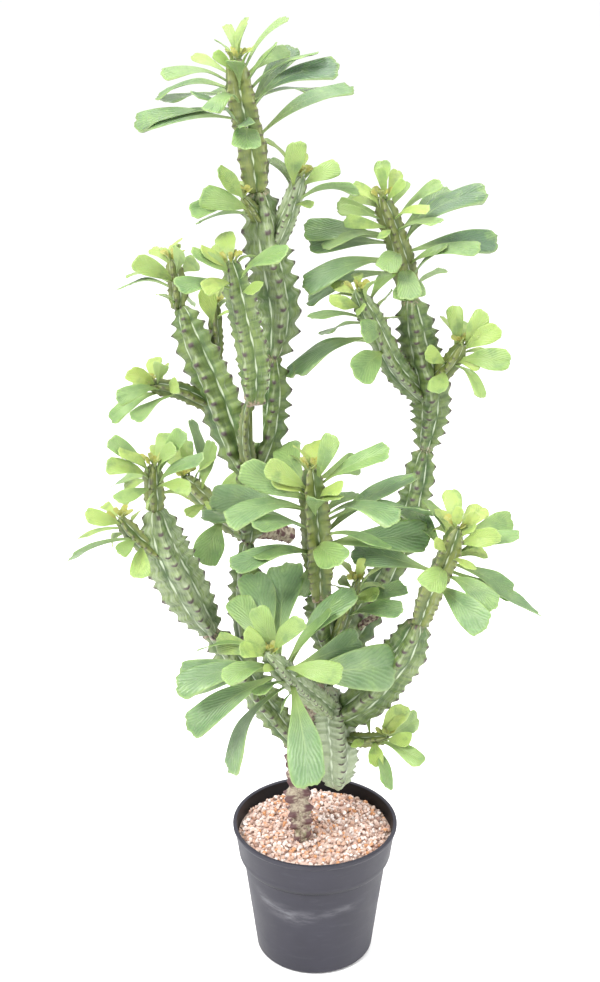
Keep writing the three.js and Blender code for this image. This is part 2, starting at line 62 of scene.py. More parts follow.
STEMS = [
  grown("trunk", 17,
    [[-15, -20, 125], [-15, -20, 165], [-20, -10, 220], [-15, -5, 285], [5, -5, 345]], kind="joint"),
  grown("right_base", 25,
    [[15, -10, 345], [20, -15, 310], [25, -20, 270], [25, -20, 220]], kind="joint"),
  grown("left_base", 20,
    [[-20, -5, 265], [-55, -5, 320], [-85, -20, 380], [-115, -40, 430]], kind="joint"),
  grown("left_branch", 27,
    [[-110, -40, 425], [-130, -50, 465], [-155, -70, 535], [-165, -75, 585]], kind="joint"),
  grown("left_riser", 17, [[-75, -15, 385], [-80, 20, 440], [-75, 40, 500]], kind="joint"),
  grown("left_node", 20, [[-75, 40, 495], [-75, 40, 540], [-70, 40, 580]], kind="joint"),
  grown("mid_left_branch", 24,
    [[-70, 40, 570], [-85, 45, 600], [-110, 60, 670], [-135, 75, 725], [-145, 85, 755]], kind="joint"),
  grown("upper_riser", 17,
    [[-70, 40, 570], [-55, 40, 610], [-45, 40, 665], [-45, 35, 715]], kind="joint"),
  grown("upper_branch", 25,
    [[-45, 35, 710], [-40, 35, 755], [-50, 25, 825], [-60, 15, 895]], kind="joint"),
  grown("front_riser", 9, [[-70, 40, 575], [-75, 15, 625], [-70, -10, 680]], kind="shoot"),
  grown("centre_riser", 16, [[-15, 5, 270], [0, 20, 305], [10, 20, 345], [15, 5, 385]], kind="joint"),
  grown("centre_branch", 21, [[15, 5, 380], [10, -10, 420], [5, -30, 470]], kind="joint"),
  grown("right_riser", 21, [[15, 15, 350], [40, 35, 385], [65, 55, 425], [95, 70, 475]], kind="joint"),
  grown("right_node", 18, [[95, 70, 465], [110, 80, 535], [120, 80, 595]], kind="joint"),
  grown("upper_right_branch", 24,
    [[120, 80, 590], [125, 80, 645], [110, 70, 715], [100, 70, 770]], kind="joint"),
  grown("right_branch", 26,
    [[20, -10, 300], [60, -30, 345], [95, -45, 405], [110, -55, 450]], kind="joint"),
  grown("cut_stub", 11, [[-75, 40, 515], [-45, 55, 505], [-25, 65, 495]], kind="wood"),
  grown("dry_twig", 4, [[40, 40, 385], [55, 20, 410], [70, 0, 430]], kind="wood"),
]

# A shoot also has leaves, from the lowest to the highest: the heading of its tip (0 is +X, 90 is +Y),
# its lift above level, length, width and twist.

SHOOTS = [
  grown("top_shoot", 16,
    [[-60, 15, 890], [-65, 10, 935], [-75, 5, 985], [-80, 0, 1025]], leaves_from=0.4, leaves=[
      [30, 25, 120, 38, 0], [225, 40, 80, 22, 30], [270, 0, 80, 44, -15], [270, 10, 75, 26, 45],
      [165, -5, 110, 38, 0], [60, 35, 95, 34, 15], [330, 30, 105, 38, 0], [165, -10, 105, 38, 15],
      [45, 5, 100, 36, -15], [255, 5, 85, 28, 0], [120, 0, 80, 28, -15], [150, -5, 90, 34, 30],
      [330, 30, 90, 34, -15], [150, -5, 90, 34, 15], [270, 35, 55, 28, 0], [315, 40, 60, 22, 15],
      [210, 15, 75, 26, 15], [45, 20, 70, 24, 30], [150, 20, 50, 20, -15], [45, 45, 75, 18, -30],
      [240, 35, 35, 16, -75], [300, 50, 35, 14, -15], [105, 60, 45, 16, 15], [75, 55, 50, 18, -30],
      [300, 65, 40, 18, -30], [135, 35, 30, 14, 30],
  ]),
  grown("upper_right_shoot", 12,
    [[-45, 25, 830], [-30, 15, 870], [-15, 5, 910]], leaves_from=0.65, leaves=[
      [315, 15, 25, 10, 15], [330, 15, 70, 24, -45], [120, 20, 60, 22, 45], [120, 30, 50, 20, 30],
      [270, 65, 50, 24, -15], [330, 35, 45, 20, 45], [135, 45, 55, 20, 45], [45, 15, 40, 16, -30],
      [90, 35, 35, 14, 0],
  ]),
  grown("upper_left_shoot", 8,
    [[-55, 20, 855], [-65, 5, 875], [-75, -5, 890]], leaves_from=0.55, leaves=[
      [210, -5, 60, 22, 60], [225, 20, 60, 26, -60], [210, 0, 60, 22, 0], [105, 10, 45, 20, 0],
      [240, 40, 50, 24, -75],
  ]),
  grown("mid_left_shoot", 11,
    [[-150, 85, 750], [-150, 90, 775], [-155, 90, 805]], leaves_from=0.15, leaves=[
      [240, 25, 35, 14, 30], [75, -30, 45, 20, 45], [150, -5, 70, 24, 30], [150, 10, 60, 22, 30],
      [225, 35, 55, 24, -60], [60, 15, 40, 24, 30], [285, 50, 40, 20, -60], [120, 40, 30, 14, 0],
      [135, 25, 35, 14, -15], [90, 30, 30, 16, 0], [75, 40, 30, 14, -45],
  ]),
  grown("inner_left_shoot", 9,
    [[-110, 65, 685], [-110, 85, 715], [-110, 95, 755]], leaves_from=0.7, leaves=[
      [225, 75, 45, 24, -15], [300, 30, 30, 14, 15], [75, 20, 30, 12, 0], [105, 55, 30, 20, 0],
      [75, 30, 30, 14, -15],
  ]),
  grown("front_upper_shoot", 18,
    [[-65, -10, 675], [-65, -25, 725], [-75, -35, 785], [-85, -40, 835]], leaves_from=0.8, leaves=[
      [300, 20, 45, 20, 30], [225, 15, 75, 26, 0], [240, 15, 50, 20, -15], [315, 35, 75, 26, 15],
      [120, 20, 50, 28, -30], [225, 35, 55, 20, -45], [225, 35, 45, 20, -30], [60, 5, 40, 16, -30],
      [105, 40, 40, 24, 0], [90, 20, 35, 14, 45],
  ]),
  grown("side_left_shoot", 11,
    [[-115, 60, 650], [-145, 50, 670], [-180, 40, 680]], leaves_from=0.6, leaves=[
      [225, -15, 60, 22, 30], [285, 20, 40, 20, 75], [195, -20, 65, 24, 0], [90, 25, 35, 14, -15],
      [225, 5, 55, 20, -15], [285, 55, 35, 20, -60], [225, 35, 40, 22, -60], [90, 30, 40, 20, 0],
      [135, -10, 30, 14, -45],
  ]),
  grown("left_shoot", 12,
    [[-165, -75, 580], [-165, -75, 605], [-165, -80, 635]], leaves_from=0.35, leaves=[
      [45, -20, 45, 20, -15], [270, 5, 45, 20, 45], [240, 5, 55, 20, -30], [315, 20, 50, 20, 15],
      [330, 35, 70, 24, 15], [135, -25, 45, 20, -60], [135, -25, 65, 24, -15],
      [225, 30, 60, 22, -15], [330, 60, 60, 22, 15], [315, 60, 45, 20, 0], [225, 45, 50, 20, -15],
      [225, 45, 60, 22, -45], [90, 15, 45, 20, 0], [75, 25, 50, 22, 15], [105, -5, 25, 10, 0],
  ]),
  grown("far_left_shoot", 11,
    [[-145, -65, 515], [-180, -80, 550], [-200, -90, 580]], leaves_from=0.55, leaves=[
      [270, -15, 45, 26, 0], [255, 5, 45, 20, 0], [225, 0, 75, 26, 75], [135, -35, 40, 16, -30],
      [75, 10, 35, 14, -15], [165, -20, 50, 20, 15], [90, 10, 40, 16, -30], [225, 25, 45, 22, -45],
      [120, 5, 35, 14, -15],
  ]),
  grown("back_left_shoot", 14,
    [[-75, 40, 505], [-115, 65, 530], [-150, 80, 560]], leaves_from=0.35, leaves=[
      [255, -25, 65, 38, -15], [345, 60, 50, 20, 0], [240, 5, 40, 16, -15], [300, -15, 40, 16, -15],
      [330, 75, 60, 22, 15], [105, 60, 75, 26, 45], [330, 55, 45, 20, -30], [105, 45, 50, 20, 0],
      [120, 35, 45, 28, -15],
  ]),
  grown("centre_shoot", 16, [[5, -30, 460], [0, -50, 550], [-5, -60, 625]], leaves_from=0.3, leaves=[
      [120, -65, 55, 24, -45], [225, 20, 75, 26, 0], [210, 5, 95, 34, 0], [0, 5, 110, 38, 15],
      [285, 5, 65, 38, 30], [15, 35, 115, 40, -15], [330, 5, 80, 28, -15], [165, 0, 120, 44, 75],
      [225, 20, 85, 28, 15], [0, 5, 115, 44, -30], [45, 15, 60, 22, 0], [330, 15, 95, 34, -30],
      [270, 40, 55, 26, 15], [165, 0, 110, 38, -15], [210, 10, 95, 34, 15], [135, 5, 60, 28, -30],
      [300, 30, 40, 20, 15], [195, 30, 80, 34, -45], [315, 30, 40, 20, 15], [210, 30, 45, 20, 0],
      [120, 20, 75, 38, -30], [210, 40, 60, 26, -45], [345, 30, 85, 28, 0], [45, 5, 65, 28, 30],
      [315, 70, 55, 22, 30], [120, 15, 40, 16, 45], [105, 10, 30, 14, -15], [90, 25, 40, 28, 0],
      [120, 30, 35, 14, 30],
  ]),
  grown("front_shoot", 15,
    [[20, -10, 310], [5, -45, 345], [-25, -95, 400], [-50, -135, 450]], leaves_from=0.6, leaves=[
      [255, 0, 50, 20, 60], [195, -50, 115, 40, 45], [285, -35, 115, 44, 0], [15, -5, 115, 58, 30],
      [240, 10, 55, 20, 30], [30, 10, 90, 38, 30], [30, 50, 105, 38, -30], [195, -25, 110, 38, 0],
      [195, 5, 105, 34, 0], [0, 55, 75, 26, -15], [330, 10, 65, 28, 30], [90, 35, 120, 48, 0],
      [165, -15, 105, 44, -30], [240, 25, 25, 10, -30], [105, 30, 115, 44, 0], [225, 5, 65, 24, 0],
      [210, 75, 60, 26, -15], [120, 30, 80, 34, -15], [225, 50, 45, 20, -45], [315, 60, 60, 22, 15],
      [150, 5, 65, 28, -30], [225, 35, 45, 20, -15], [150, -5, 80, 28, 30],
  ]),
  grown("right_shoot", 15,
    [[110, -55, 445], [120, -65, 485], [135, -75, 530], [145, -85, 570]], leaves_from=0.45, leaves=[
      [300, -5, 85, 34, 30], [150, 5, 100, 36, -30], [315, -5, 70, 26, 15], [0, -30, 110, 40, -15],
      [255, 5, 60, 32, -30], [15, -30, 80, 28, 0], [30, -5, 45, 20, -15], [120, 20, 80, 28, 15],
      [300, 10, 40, 16, 0], [345, 25, 70, 24, 0], [240, 35, 35, 14, -30], [105, 30, 65, 24, 30],
      [30, -10, 40, 20, -30], [105, 5, 40, 20, 0], [330, 30, 50, 24, 45], [105, 25, 40, 20, 0],
      [315, 50, 30, 14, 0], [30, 5, 65, 28, 30], [90, 55, 45, 24, 0], [45, 20, 45, 28, 15],
      [330, 55, 30, 14, 45], [285, 70, 30, 14, 0],
  ]),
  grown("low_right_shoot", 9,
    [[30, -10, 280], [55, -40, 295], [80, -60, 310]], leaves_from=0.55, leaves=[
      [255, 20, 30, 14, 0], [105, 45, 55, 20, 15], [285, -15, 70, 24, -30], [270, -10, 40, 20, 0],
      [315, 5, 60, 22, 0], [345, 60, 45, 26, 30], [345, 50, 35, 14, 30], [45, 0, 55, 28, 30],
      [315, 20, 35, 20, 30],
  ]),
  grown("small_centre_shoot", 8,
    [[15, 5, 375], [30, -30, 435], [45, -40, 490]], leaves_from=0.65, leaves=[
      [330, 20, 70, 24, 0], [30, 10, 70, 24, 15], [120, 10, 35, 14, 30], [315, 30, 40, 20, 30],
      [45, -5, 40, 16, -30], [120, 0, 30, 14, -30], [345, 45, 40, 16, -30], [120, 20, 40, 16, 15],
      [15, 75, 25, 14, 0],
  ]),
  grown("right_top_shoot", 14, [[100, 70, 765], [85, 60, 825], [65, 55, 880]], leaves_from=0.1, leaves=[
      [45, 15, 55, 20, -30], [270, 5, 60, 44, 0], [315, 40, 60, 20, 0], [165, -20, 105, 38, 0],
      [270, -5, 65, 34, 0], [330, 20, 80, 28, 15], [180, -5, 90, 34, 15], [195, -10, 100, 36, 0],
      [0, 10, 95, 34, 15], [255, 0, 60, 34, -15], [30, 40, 95, 34, -30], [345, 40, 100, 38, 0],
      [180, 0, 85, 32, -15], [180, 5, 90, 34, -15], [45, 30, 80, 28, 30], [195, -5, 70, 24, 0],
      [315, 20, 60, 24, 0], [255, 5, 45, 16, 0], [210, 15, 50, 20, -60], [0, 45, 60, 22, -15],
      [315, 25, 50, 16, 15], [195, 15, 50, 20, 0], [165, 15, 50, 20, -30], [60, 35, 45, 24, 15],
      [135, 15, 45, 28, -30], [195, 50, 40, 20, 0], [60, 50, 40, 20, 15], [315, 45, 35, 14, 60],
      [240, 75, 35, 16, -15], [90, 60, 40, 24, 0],
  ]),
  grown("inner_right_shoot", 15,
    [[120, 80, 650], [85, 55, 695], [60, 30, 750], [40, 20, 790]], leaves_from=0.55, leaves=[
      [240, -5, 60, 38, -30], [180, -15, 100, 36, 30], [195, -15, 90, 32, 15], [60, 5, 40, 16, -30],
      [255, 15, 55, 28, -75], [150, -20, 60, 24, 15], [60, 20, 40, 20, -45], [195, 10, 60, 24, 15],
      [255, 25, 45, 16, 60], [60, 30, 55, 20, 0], [210, 20, 40, 20, -45], [285, 50, 35, 14, 0],
      [135, 0, 40, 16, 0], [135, 15, 35, 20, -30], [90, 25, 30, 14, 15],
  ]),
  grown("far_right_shoot", 11,
    [[115, 75, 665], [140, 60, 695], [155, 45, 725]], leaves_from=0.5, leaves=[
      [255, -15, 40, 24, 0], [225, 30, 40, 20, -75], [315, -25, 50, 20, -15], [315, 0, 30, 12, 15],
      [330, 10, 60, 28, 45], [105, 45, 45, 20, 45], [15, -5, 35, 14, 0], [255, 85, 45, 20, 0],
      [330, 40, 50, 24, 45], [75, 25, 35, 20, 0], [315, 55, 45, 24, 60],
  ]),
]

# ---- Sizes of the details, in metres ------------------------------------------------------------

# Each stem's ribs, its radius between two ribs as a share of the ribs', the distance between the
# teeth on a rib, their height and how fast they die away down the rib's flank, how far it is turned
# (0: a rib faces the front, 1: a valley does), how chalky its skin is and how corky its ends are.
# "wide" is how many times its solid's radius a stem has, where that isn't 1.
STEM_LOOKS = {
    "joint": {"ribs": 4, "valley": 0.54, "spacing": 0.0165, "tooth": 0.0064, "fade": 1.6, "turn": 0.2,
              "chalk": 0.02, "cork": 0.6},
    "shoot": {"ribs": 4, "valley": 0.54, "spacing": 0.0088, "tooth": 0.0017, "fade": 4.0, "turn": 0.1,
              "chalk": 0.0, "cork": 0.35},
    "wood": {"ribs": 5, "valley": 0.84, "spacing": 0.012, "tooth": 0.0008, "fade": 2.0, "turn": 0,
             "chalk": 0.2, "cork": 0.0},
}
STEM_DETAILS = {
    "trunk": {"valley": 0.60, "spacing": 0.0190, "tooth": 0.0105, "fade": 2.2, "turn": 0.9},
    "right_base": {"turn": 0.4, "spacing": 0.0072, "tooth": 0.0040, "chalk": 0.80, "cork": 0.5},
    "left_base": {"chalk": 0.25, "cork": 1.0},
    "left_branch": {"turn": -0.1, "chalk": 0.38, "spacing": 0.0150, "tooth": 0.0052, "cork": 0.2},
    "mid_left_branch": {"turn": 0.3, "cork": 0.3},
    "upper_branch": {"turn": -0.3, "chalk": 0.30, "spacing": 0.0175, "tooth": 0.0080},
    "upper_riser": {"tooth": 0.0074},
    "upper_right_branch": {"chalk": 0.14, "spacing": 0.0130, "tooth": 0.0058},
    "right_node": {"tooth": 0.0074},
    "right_branch": {"tooth": 0.0040, "spacing": 0.0140, "chalk": 0.20},
    "front_riser": {"spacing": 0.011},
    "front_upper_shoot": {"turn": 0.5, "spacing": 0.0125, "tooth": 0.0036, "fade": 2.0, "chalk": 0.08,
                          "cork": 1.1},
    "front_shoot": {"chalk": 0.50},
    "centre_shoot": {"cork": 0.9, "turn": 0.8, "wide": 1.2, "valley": 0.45},
    "top_shoot": {"turn": 1, "wide": 1.25, "valley": 0.45},
    "right_shoot": {"turn": 0.8, "wide": 1.1, "chalk": 0.05},
    "inner_right_shoot": {"spacing": 0.0125, "tooth": 0.0034, "chalk": 0.25},
    "upper_right_shoot": {"chalk": 0.50},
}
GREY_SHOOTS = ("front_upper_shoot", "front_shoot", "inner_right_shoot", "upper_right_shoot")
DARK_SHOOTS = ("top_shoot", "right_top_shoot")  # where the old leaves are darkest
NARROW_SHOOTS = {"top_shoot": 0.74, "right_top_shoot": 0.84, "left_shoot": 0.9, "far_left_shoot": 0.9}
RING_CORNERS = 80
RINGS_PER_TOOTH = 9
DIRECTION_REACH = 0.004  # how far each way a curve's direction is taken over
FACING = (0.0, -1.0, 0.4)  # where a stem that isn't turned has a rib
STEM_SHAPES = {  # share of the radius along a stem
    "wood": ([0, 0.5, 1], [1, 0.95, 0.85]),
    "joint": ([0, 0.2, 0.4, 0.8, 1], [0.42, 0.85, 1, 0.9, 0.5]),
    "shoot": ([0, 0.30, 0.85, 1], [0.72, 1, 0.86, 0.45]),
    "trunk": ([0, 0.14, 0.22, 0.35, 0.8, 1], [0.44, 0.50, 0.84, 0.95, 0.85, 0.6]),
}
WOODY = ("trunk", "cut_stub", "dry_twig")
PLEATS = {"wood": -0.12, "joint": -0.12, "shoot": -0.03}  # their height, as a share of a tooth's
BARK_GRAIN = 0.00025
SKIN_GRAIN = 0.00004
HOOP_SPACING = 0.0075  # of the rings round woody stems
HOOP_HEIGHT = 0.0004
LEAF_CROWDING = 0.7
LEAF_INSET = 0.5
LEAF_THICKNESS = 0.0009
LEAF_ROWS = 26
LEAF_WIDENING = 0.88  # for blades that are full nearly to the tip
SHORT_LEAF = 35  # millimetres: the length of the youngest leaves
LEAF_AGEING = 65  # millimetres that a leaf grows until it is old
BUD_LEAVES = 9
BUD_PLACE = 0.985  # where they stand, as a share of a shoot
BUD_LENGTH = 0.007
BUD_GROWTH = 0.0011  # how much longer each is than the one before
BUD_AGE = -0.5
TURN_BETWEEN_LEAVES = 137.5
LIGHT = Vector((0, -0.48, 0.88))  # where the light that blades face comes from
GRAIN_COUNT = 1650
GRAIN_SIZE = (0.0019, 0.0034)  # least and greatest half-size of a grain
GRAIN_FACETS = 7
GRAVEL_CROWN = 0.004
BED_DEPTH = 0.002  # of the bed's top under the grains' middles
BED_SIDES = 96
FOOT_SHARE = 0.52  # of the trunk's radius, that the grains keep free


# ---- Curves along a stem ------------------------------------------------------------------------

def centripetal(path, samples=40):
    """Points along the same smooth centripetal curve that the stems' solids follow, evenly spaced."""
    points = np.array(path, float) * MM
    ends = [2 * points[0] - points[1], 2 * points[-1] - points[-2]]
    knots = np.vstack([ends[0], points, ends[1]])
    curve = []
    for i in range(1, len(knots) - 2):
        a, b, c, d = knots[i - 1:i + 3]
        before, here, after = (np.linalg.norm(v) ** 0.5 for v in (b - a, c - b, d - c))
        leave = ((b - a) / before - (c - a) / (before + here) + (c - b) / here) * here
        reach = ((c - b) / here - (d - b) / (here + after) + (d - c) / after) * here
        for t in np.linspace(0, 1, samples, endpoint=False):
            curve.append(b + leave * t + (3 * (c - b) - 2 * leave - reach) * t ** 2
                         + (2 * (b - c) + leave + reach) * t ** 3)
    curve.append(knots[-2])
    curve = np.array(curve)
    distance = np.r_[0, np.cumsum(np.linalg.norm(np.diff(curve, axis=0), axis=1))]
    return curve, distance


def at_distances(curve, distance, wanted):
    """Points and unit directions of a curve at some distances along it."""
    points = np.stack([np.interp(wanted, distance, curve[:, k]) for k in range(3)], 1)
    ahead = np.minimum(wanted + DIRECTION_REACH, distance[-1])
    behind = np.maximum(wanted - DIRECTION_REACH, 0)
    step = [np.interp(ahead, distance, curve[:, k]) - np.interp(behind, distance, curve[:, k])
            for k in range(3)]
    step = np.stack(step, 1)
    return points, step / np.linalg.norm(step, axis=1, keepdims=True)


# ---- Meshes and their attributes ----------------------------------------------------------------

def mesh_piece(name, vertices, faces, attributes=None, smooth=True):
    """A mesh object from arrays. attributes holds one number, or one triple, for each vertex."""
    mesh = bpy.data.meshes.new(name)
    mesh.from_pydata([tuple(v) for v in vertices], [], [tuple(f) for f in faces])
    for key, values in (attributes or {}).items():
        values = np.asarray(values, np.float32)
        if values.ndim == 1:
            mesh.attributes.new(key, "FLOAT", "POINT").data.foreach_set("value", values)
        else:
            layer = mesh.attributes.new(key, "FLOAT_VECTOR", "POINT")
            layer.data.foreach_set("vector", values.ravel())
    mesh.polygons.foreach_set("use_smooth", [smooth] * len(mesh.polygons))
    mesh.update()
    piece = bpy.data.objects.new(name, mesh)
    bpy.context.scene.collection.objects.link(piece)
    return piece


def ring_faces(rings, corners, start=0):
    """Quads that join rings of corners, each ring closed on itself."""
    ring, corner = np.meshgrid(np.arange(rings - 1), np.arange(corners), indexing="ij")
    near = start + ring * corners + corner
    next_ = start + ring * corners + (corner + 1) % corners
    return np.stack([near, next_, next_ + corners, near + corners], -1).reshape(-1, 4)


def finish_piece(piece, material, nodes=()):
    piece.data.materials.append(material)
    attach(piece, "root")
    if nodes:
        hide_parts(*nodes)
    return piece


# ---- Stems --------------------------------------------------------------------------------------

def smooth_noise(count, cells, seed):
    """A smooth random wave of a length, between -1 and 1."""
    random = np.random.default_rng(seed)
    knots = random.uniform(-1, 1, cells + 3)
    place = np.linspace(0, cells, count)
    cell = place.astype(int)
    part = place - cell
    part = part * part * (3 - 2 * part)
    return knots[cell] * (1 - part) + knots[cell + 1] * part


def rings_down(length, cap, step):
    """Distances of a stem's rings from its foot, closer at the domed ends, and their share of width."""
    bend = np.linspace(0.14, np.pi / 2, 7)[:-1]
    count = max(4, int((length - 2 * cap) / step))
    straight = np.linspace(cap, length - cap, count)
    rise = cap * (1 - np.cos(bend))
    down = np.concatenate([rise, straight, (length - rise)[::-1]])
    dome = np.concatenate([np.sin(bend), np.ones(count), np.sin(bend)[::-1]])
    return down, dome


def stem_surface(stem, seed):
    """Rings of points round a stem's axis, and the marks that its finish is made from."""
    kind = stem.get("kind", "shoot")
    look = STEM_LOOKS[kind] | STEM_DETAILS.get(stem["name"], {})
    full = stem["radius"] * MM * look.get("wide", 1)
    curve, distance = centripetal(stem["path"])
    length = distance[-1]
    down, dome = rings_down(length, min(0.5 * full, 0.2 * length), look["spacing"] / RINGS_PER_TOOTH)
    rings = len(down)
    middle, along = at_distances(curve, distance, down)
    front = np.array(FACING)
    normal = front - along * (along @ front)[:, None]
    normal /= np.linalg.norm(normal, axis=1, keepdims=True)
    binormal = np.cross(along, normal)

    place = down / length
    fine = np.linspace(0, 1, 200)
    outline = STEM_SHAPES.get(stem["name"], STEM_SHAPES[kind])
    padded = np.pad(np.interp(fine, *outline), 12, mode="edge")
    shape = np.convolve(padded, np.ones(25) / 25, mode="valid")
    radius = full * np.interp(place, fine, shape) * dome * (1 + 0.05 * smooth_noise(rings, 7, seed))

    ribs = look["ribs"]
    angle = np.linspace(0, 2 * np.pi, RING_CORNERS, endpoint=False)[None, :]
    turns = angle / (2 * np.pi / ribs) + look["turn"] / 2
    rib = np.round(turns) % ribs
    beat = down[:, None] / look["spacing"] + 0.5 * (rib % 2) + 0.17 * rib
    beat = beat + 0.45 * smooth_noise(rings, 6, seed + 1)[:, None]
    part = beat % 1
    tooth = np.minimum(part / 0.6, (1 - part) / 0.4)
    sway = 0.04 * np.sin(np.pi * beat + rib * 2.1)
    crest = np.clip(1 - 2 * np.abs(turns + sway - np.round(turns)), 0, 1)
    relief = look["valley"] + (1 - look["valley"]) * crest ** 1.3
    uneven = 1 + 0.45 * smooth_noise(rings, max(4, int(length / look["spacing"])), seed + 3)[:, None]
    teeth = look["tooth"] * uneven * (tooth ** 1.3 - 0.42) * crest ** look["fade"]
    pleat_height = PLEATS[kind] * look["tooth"]
    pleats = pleat_height * np.cos(2 * np.pi * (beat - 0.25 * crest)) * crest * (1 - crest) * 4
    reach = radius[:, None] * relief + (teeth + pleats) * dome[:, None]
    grain = np.random.default_rng(seed + 5).normal(0, 1, reach.shape)
    reach = reach + (BARK_GRAIN if stem["name"] in WOODY else SKIN_GRAIN) * grain * dome[:, None]
    if stem["name"] in WOODY:
        hoops = np.sin(down / HOOP_SPACING * 2 * np.pi + 4 * smooth_noise(rings, 9, seed + 6))
        reach = reach + HOOP_HEIGHT * (hoops * dome)[:, None]
    turn = angle + 0.15 * smooth_noise(rings, 2, seed + 2)[:, None]
    points = (middle[:, None, :] + reach[..., None] * (np.cos(turn)[..., None] * normal[:, None, :]
                                                       + np.sin(turn)[..., None] * binormal[:, None, :]))
    ends = np.clip(1 - down / (1.1 * full), 0, 1)
    if kind != "shoot":
        ends = ends + np.clip(1 - (length - down) / (0.9 * full), 0, 1)
    every = np.ones_like(reach)
    marks = {
        "crest": crest * every,
        "tooth": tooth * every,
        "scar": look["cork"] * ends[:, None] * every,
        "chalk": look["chalk"] * every,
        "cut": (place > 0.97)[:, None] * every,
        "skin": np.stack([angle * full * every, down[:, None] * every, seed * 0.37 * every], -1),
    }
    return points, marks


def make_stem(stem, seed):
    """One stem as a closed piece, its ends filled with fans."""
    points, marks = stem_surface(stem, seed)
    rings, corners = points.shape[:2]
    vertices = list(points.reshape(-1, 3))
    faces = [tuple(f) for f in ring_faces(rings, corners)]
    attributes = {key: np.asarray(value).reshape(rings * corners, *np.shape(value)[2:])
                  for key, value in marks.items()}
    for ring, order in ((0, -1), (rings - 1, 1)):
        centre = len(vertices)
        vertices.append(points[ring].mean(0))
        for key, values in attributes.items():
            attributes[key] = np.concatenate([values, values[ring * corners][None]])
        for corner in range(corners):
            pair = [ring * corners + corner, ring * corners + (corner + 1) % corners]
            faces.append((*pair[::order], centre))
    return mesh_piece(stem["name"] + "_stem", vertices, faces, attributes)


# ---- Leaves -------------------------------------------------------------------------------------

HALF = [0.07, 0.2, 0.38, 0.57, 0.75, 0.88, 0.965, 1]
COLUMNS = np.array([-x for x in reversed(HALF)] + [0] + HALF)


def leaf_blade(foot, chord, across, length, width, random):
    """Vertices, faces and marks of one thin closed blade, a wedge with a blunt rounded tip."""
    rows = 1 - (1 - np.linspace(0, 1, LEAF_ROWS)) ** 1.1
    place, column = np.meshgrid(rows, COLUMNS, indexing="ij")
    face = across.cross(chord)
    ruffle, notch, lean = random.uniform(0, 6.28, 3)
    grown = np.clip((rows - 0.06) / 0.86, 0, 1)
    half = width / 2 * (0.13 + 0.87 * (grown * grown * (3 - 2 * grown)) ** random.uniform(0.75, 1.0))
    half = half[:, None] * (1 + 0.045 * np.sin(8 * place + lean))
    cap = min(0.4, random.uniform(0.55, 0.85) * width / 2 / length)
    arc = (1 - np.abs(column) ** 2.3) ** (1 / 2.3)
    tip = np.clip((place - 0.55) / 0.45, 0, 1) ** 2
    notches = 0.010 * np.sin(6.5 * column + notch) + 0.006 * np.sin(15 * column + lean)
    forward = length * (place * (1 - cap) + cap * arc * place ** 2.5 + notches * tip)
    sideways = half * column
    sideways = sideways + 0.05 * length * math.sin(lean) * place ** 2
    bow = random.uniform(0.03, 0.13)
    droop = random.uniform(-0.04, 0.14)
    cup = random.uniform(0.04, 0.32)
    upward = length * (bow * np.sin(np.pi * place) - droop * place ** 3)
    folded = half * cup * (np.abs(column) ** 1.3) * (1.2 - 0.6 * place)
    folded = folded + 0.050 * width * np.sin(9 * place + ruffle) * column * np.abs(column) * place
    folded = folded + 0.028 * width * np.sin(19 * place + notch) * column ** 4 * tip
    folded = folded + 0.015 * width * np.sin(9 * column + lean) * tip
    roll = random.uniform(-0.55, 0.55) * place ** 1.5
    sideways, folded = (sideways * np.cos(roll) - folded * np.sin(roll),
                        sideways * np.sin(roll) + folded * np.cos(roll))
    upward = upward + folded

    basis = np.array([chord, across, face])
    local = np.stack([forward, sideways, upward], -1)
    thick = LEAF_THICKNESS * (0.35 + 0.65 * (1 - np.abs(column) ** 3)) * (1.6 - 0.9 * place)
    keel = LEAF_THICKNESS * 0.9 * np.exp(-(column / 0.12) ** 2) * (1 - 0.8 * place)
    low = local.copy()
    low[..., 2] -= thick + keel
    shape = place.shape
    count = shape[0] * shape[1]
    vertices = np.concatenate([local.reshape(-1, 3), low.reshape(-1, 3)]) @ basis + np.array(foot)

    row, col = np.meshgrid(np.arange(shape[0] - 1), np.arange(shape[1] - 1), indexing="ij")
    near = row * shape[1] + col
    top = np.stack([near, near + shape[1], near + shape[1] + 1, near + 1], -1).reshape(-1, 4)
    bottom = top[:, ::-1] + count
    rim = list(range(shape[1]))
    rim += [r * shape[1] + shape[1] - 1 for r in range(1, shape[0])]
    rim += [(shape[0] - 1) * shape[1] + k for k in range(shape[1] - 2, -1, -1)]
    rim += [r * shape[1] for r in range(shape[0] - 2, 0, -1)]
    rim = np.array(rim)
    after = np.roll(rim, -1)
    edge = np.stack([rim, after, after + count, rim + count], -1)
    faces = np.concatenate([top, bottom, edge])

    margin = np.maximum(np.abs(column) ** 14, np.clip((place - 0.975) / 0.025, 0, 1))
    both = lambda values: np.tile(values.ravel(), 2)
    marks = {
        "place": both(place),
        "column": both(column),
        "margin": both(margin),
        "under": np.repeat([0.0, 1.0], count),
    }
    return vertices, faces, marks


def leaf_frame(shoot, curve, distance, place, heading, lift, twist):
    """Where a leaf starts, the direction of its chord and its sideways direction."""
    heading, lift = math.radians(heading), math.radians(lift)
    chord = Vector((math.cos(heading) * math.cos(lift), math.sin(heading) * math.cos(lift),
                    math.sin(lift)))
    point, along = at_distances(curve, distance, np.array([place * distance[-1]]))
    point, along = Vector(point[0]), Vector(along[0])
    outward = (chord - along * chord.dot(along)).normalized()
    inset = shoot["radius"] * MM * np.interp(place, *STEM_SHAPES["shoot"]) * LEAF_INSET
    across = chord.cross(LIGHT).normalized()
    turned = across * math.cos(math.radians(twist)) + chord.cross(across) * math.sin(math.radians(twist))
    return point + outward * inset, chord, turned


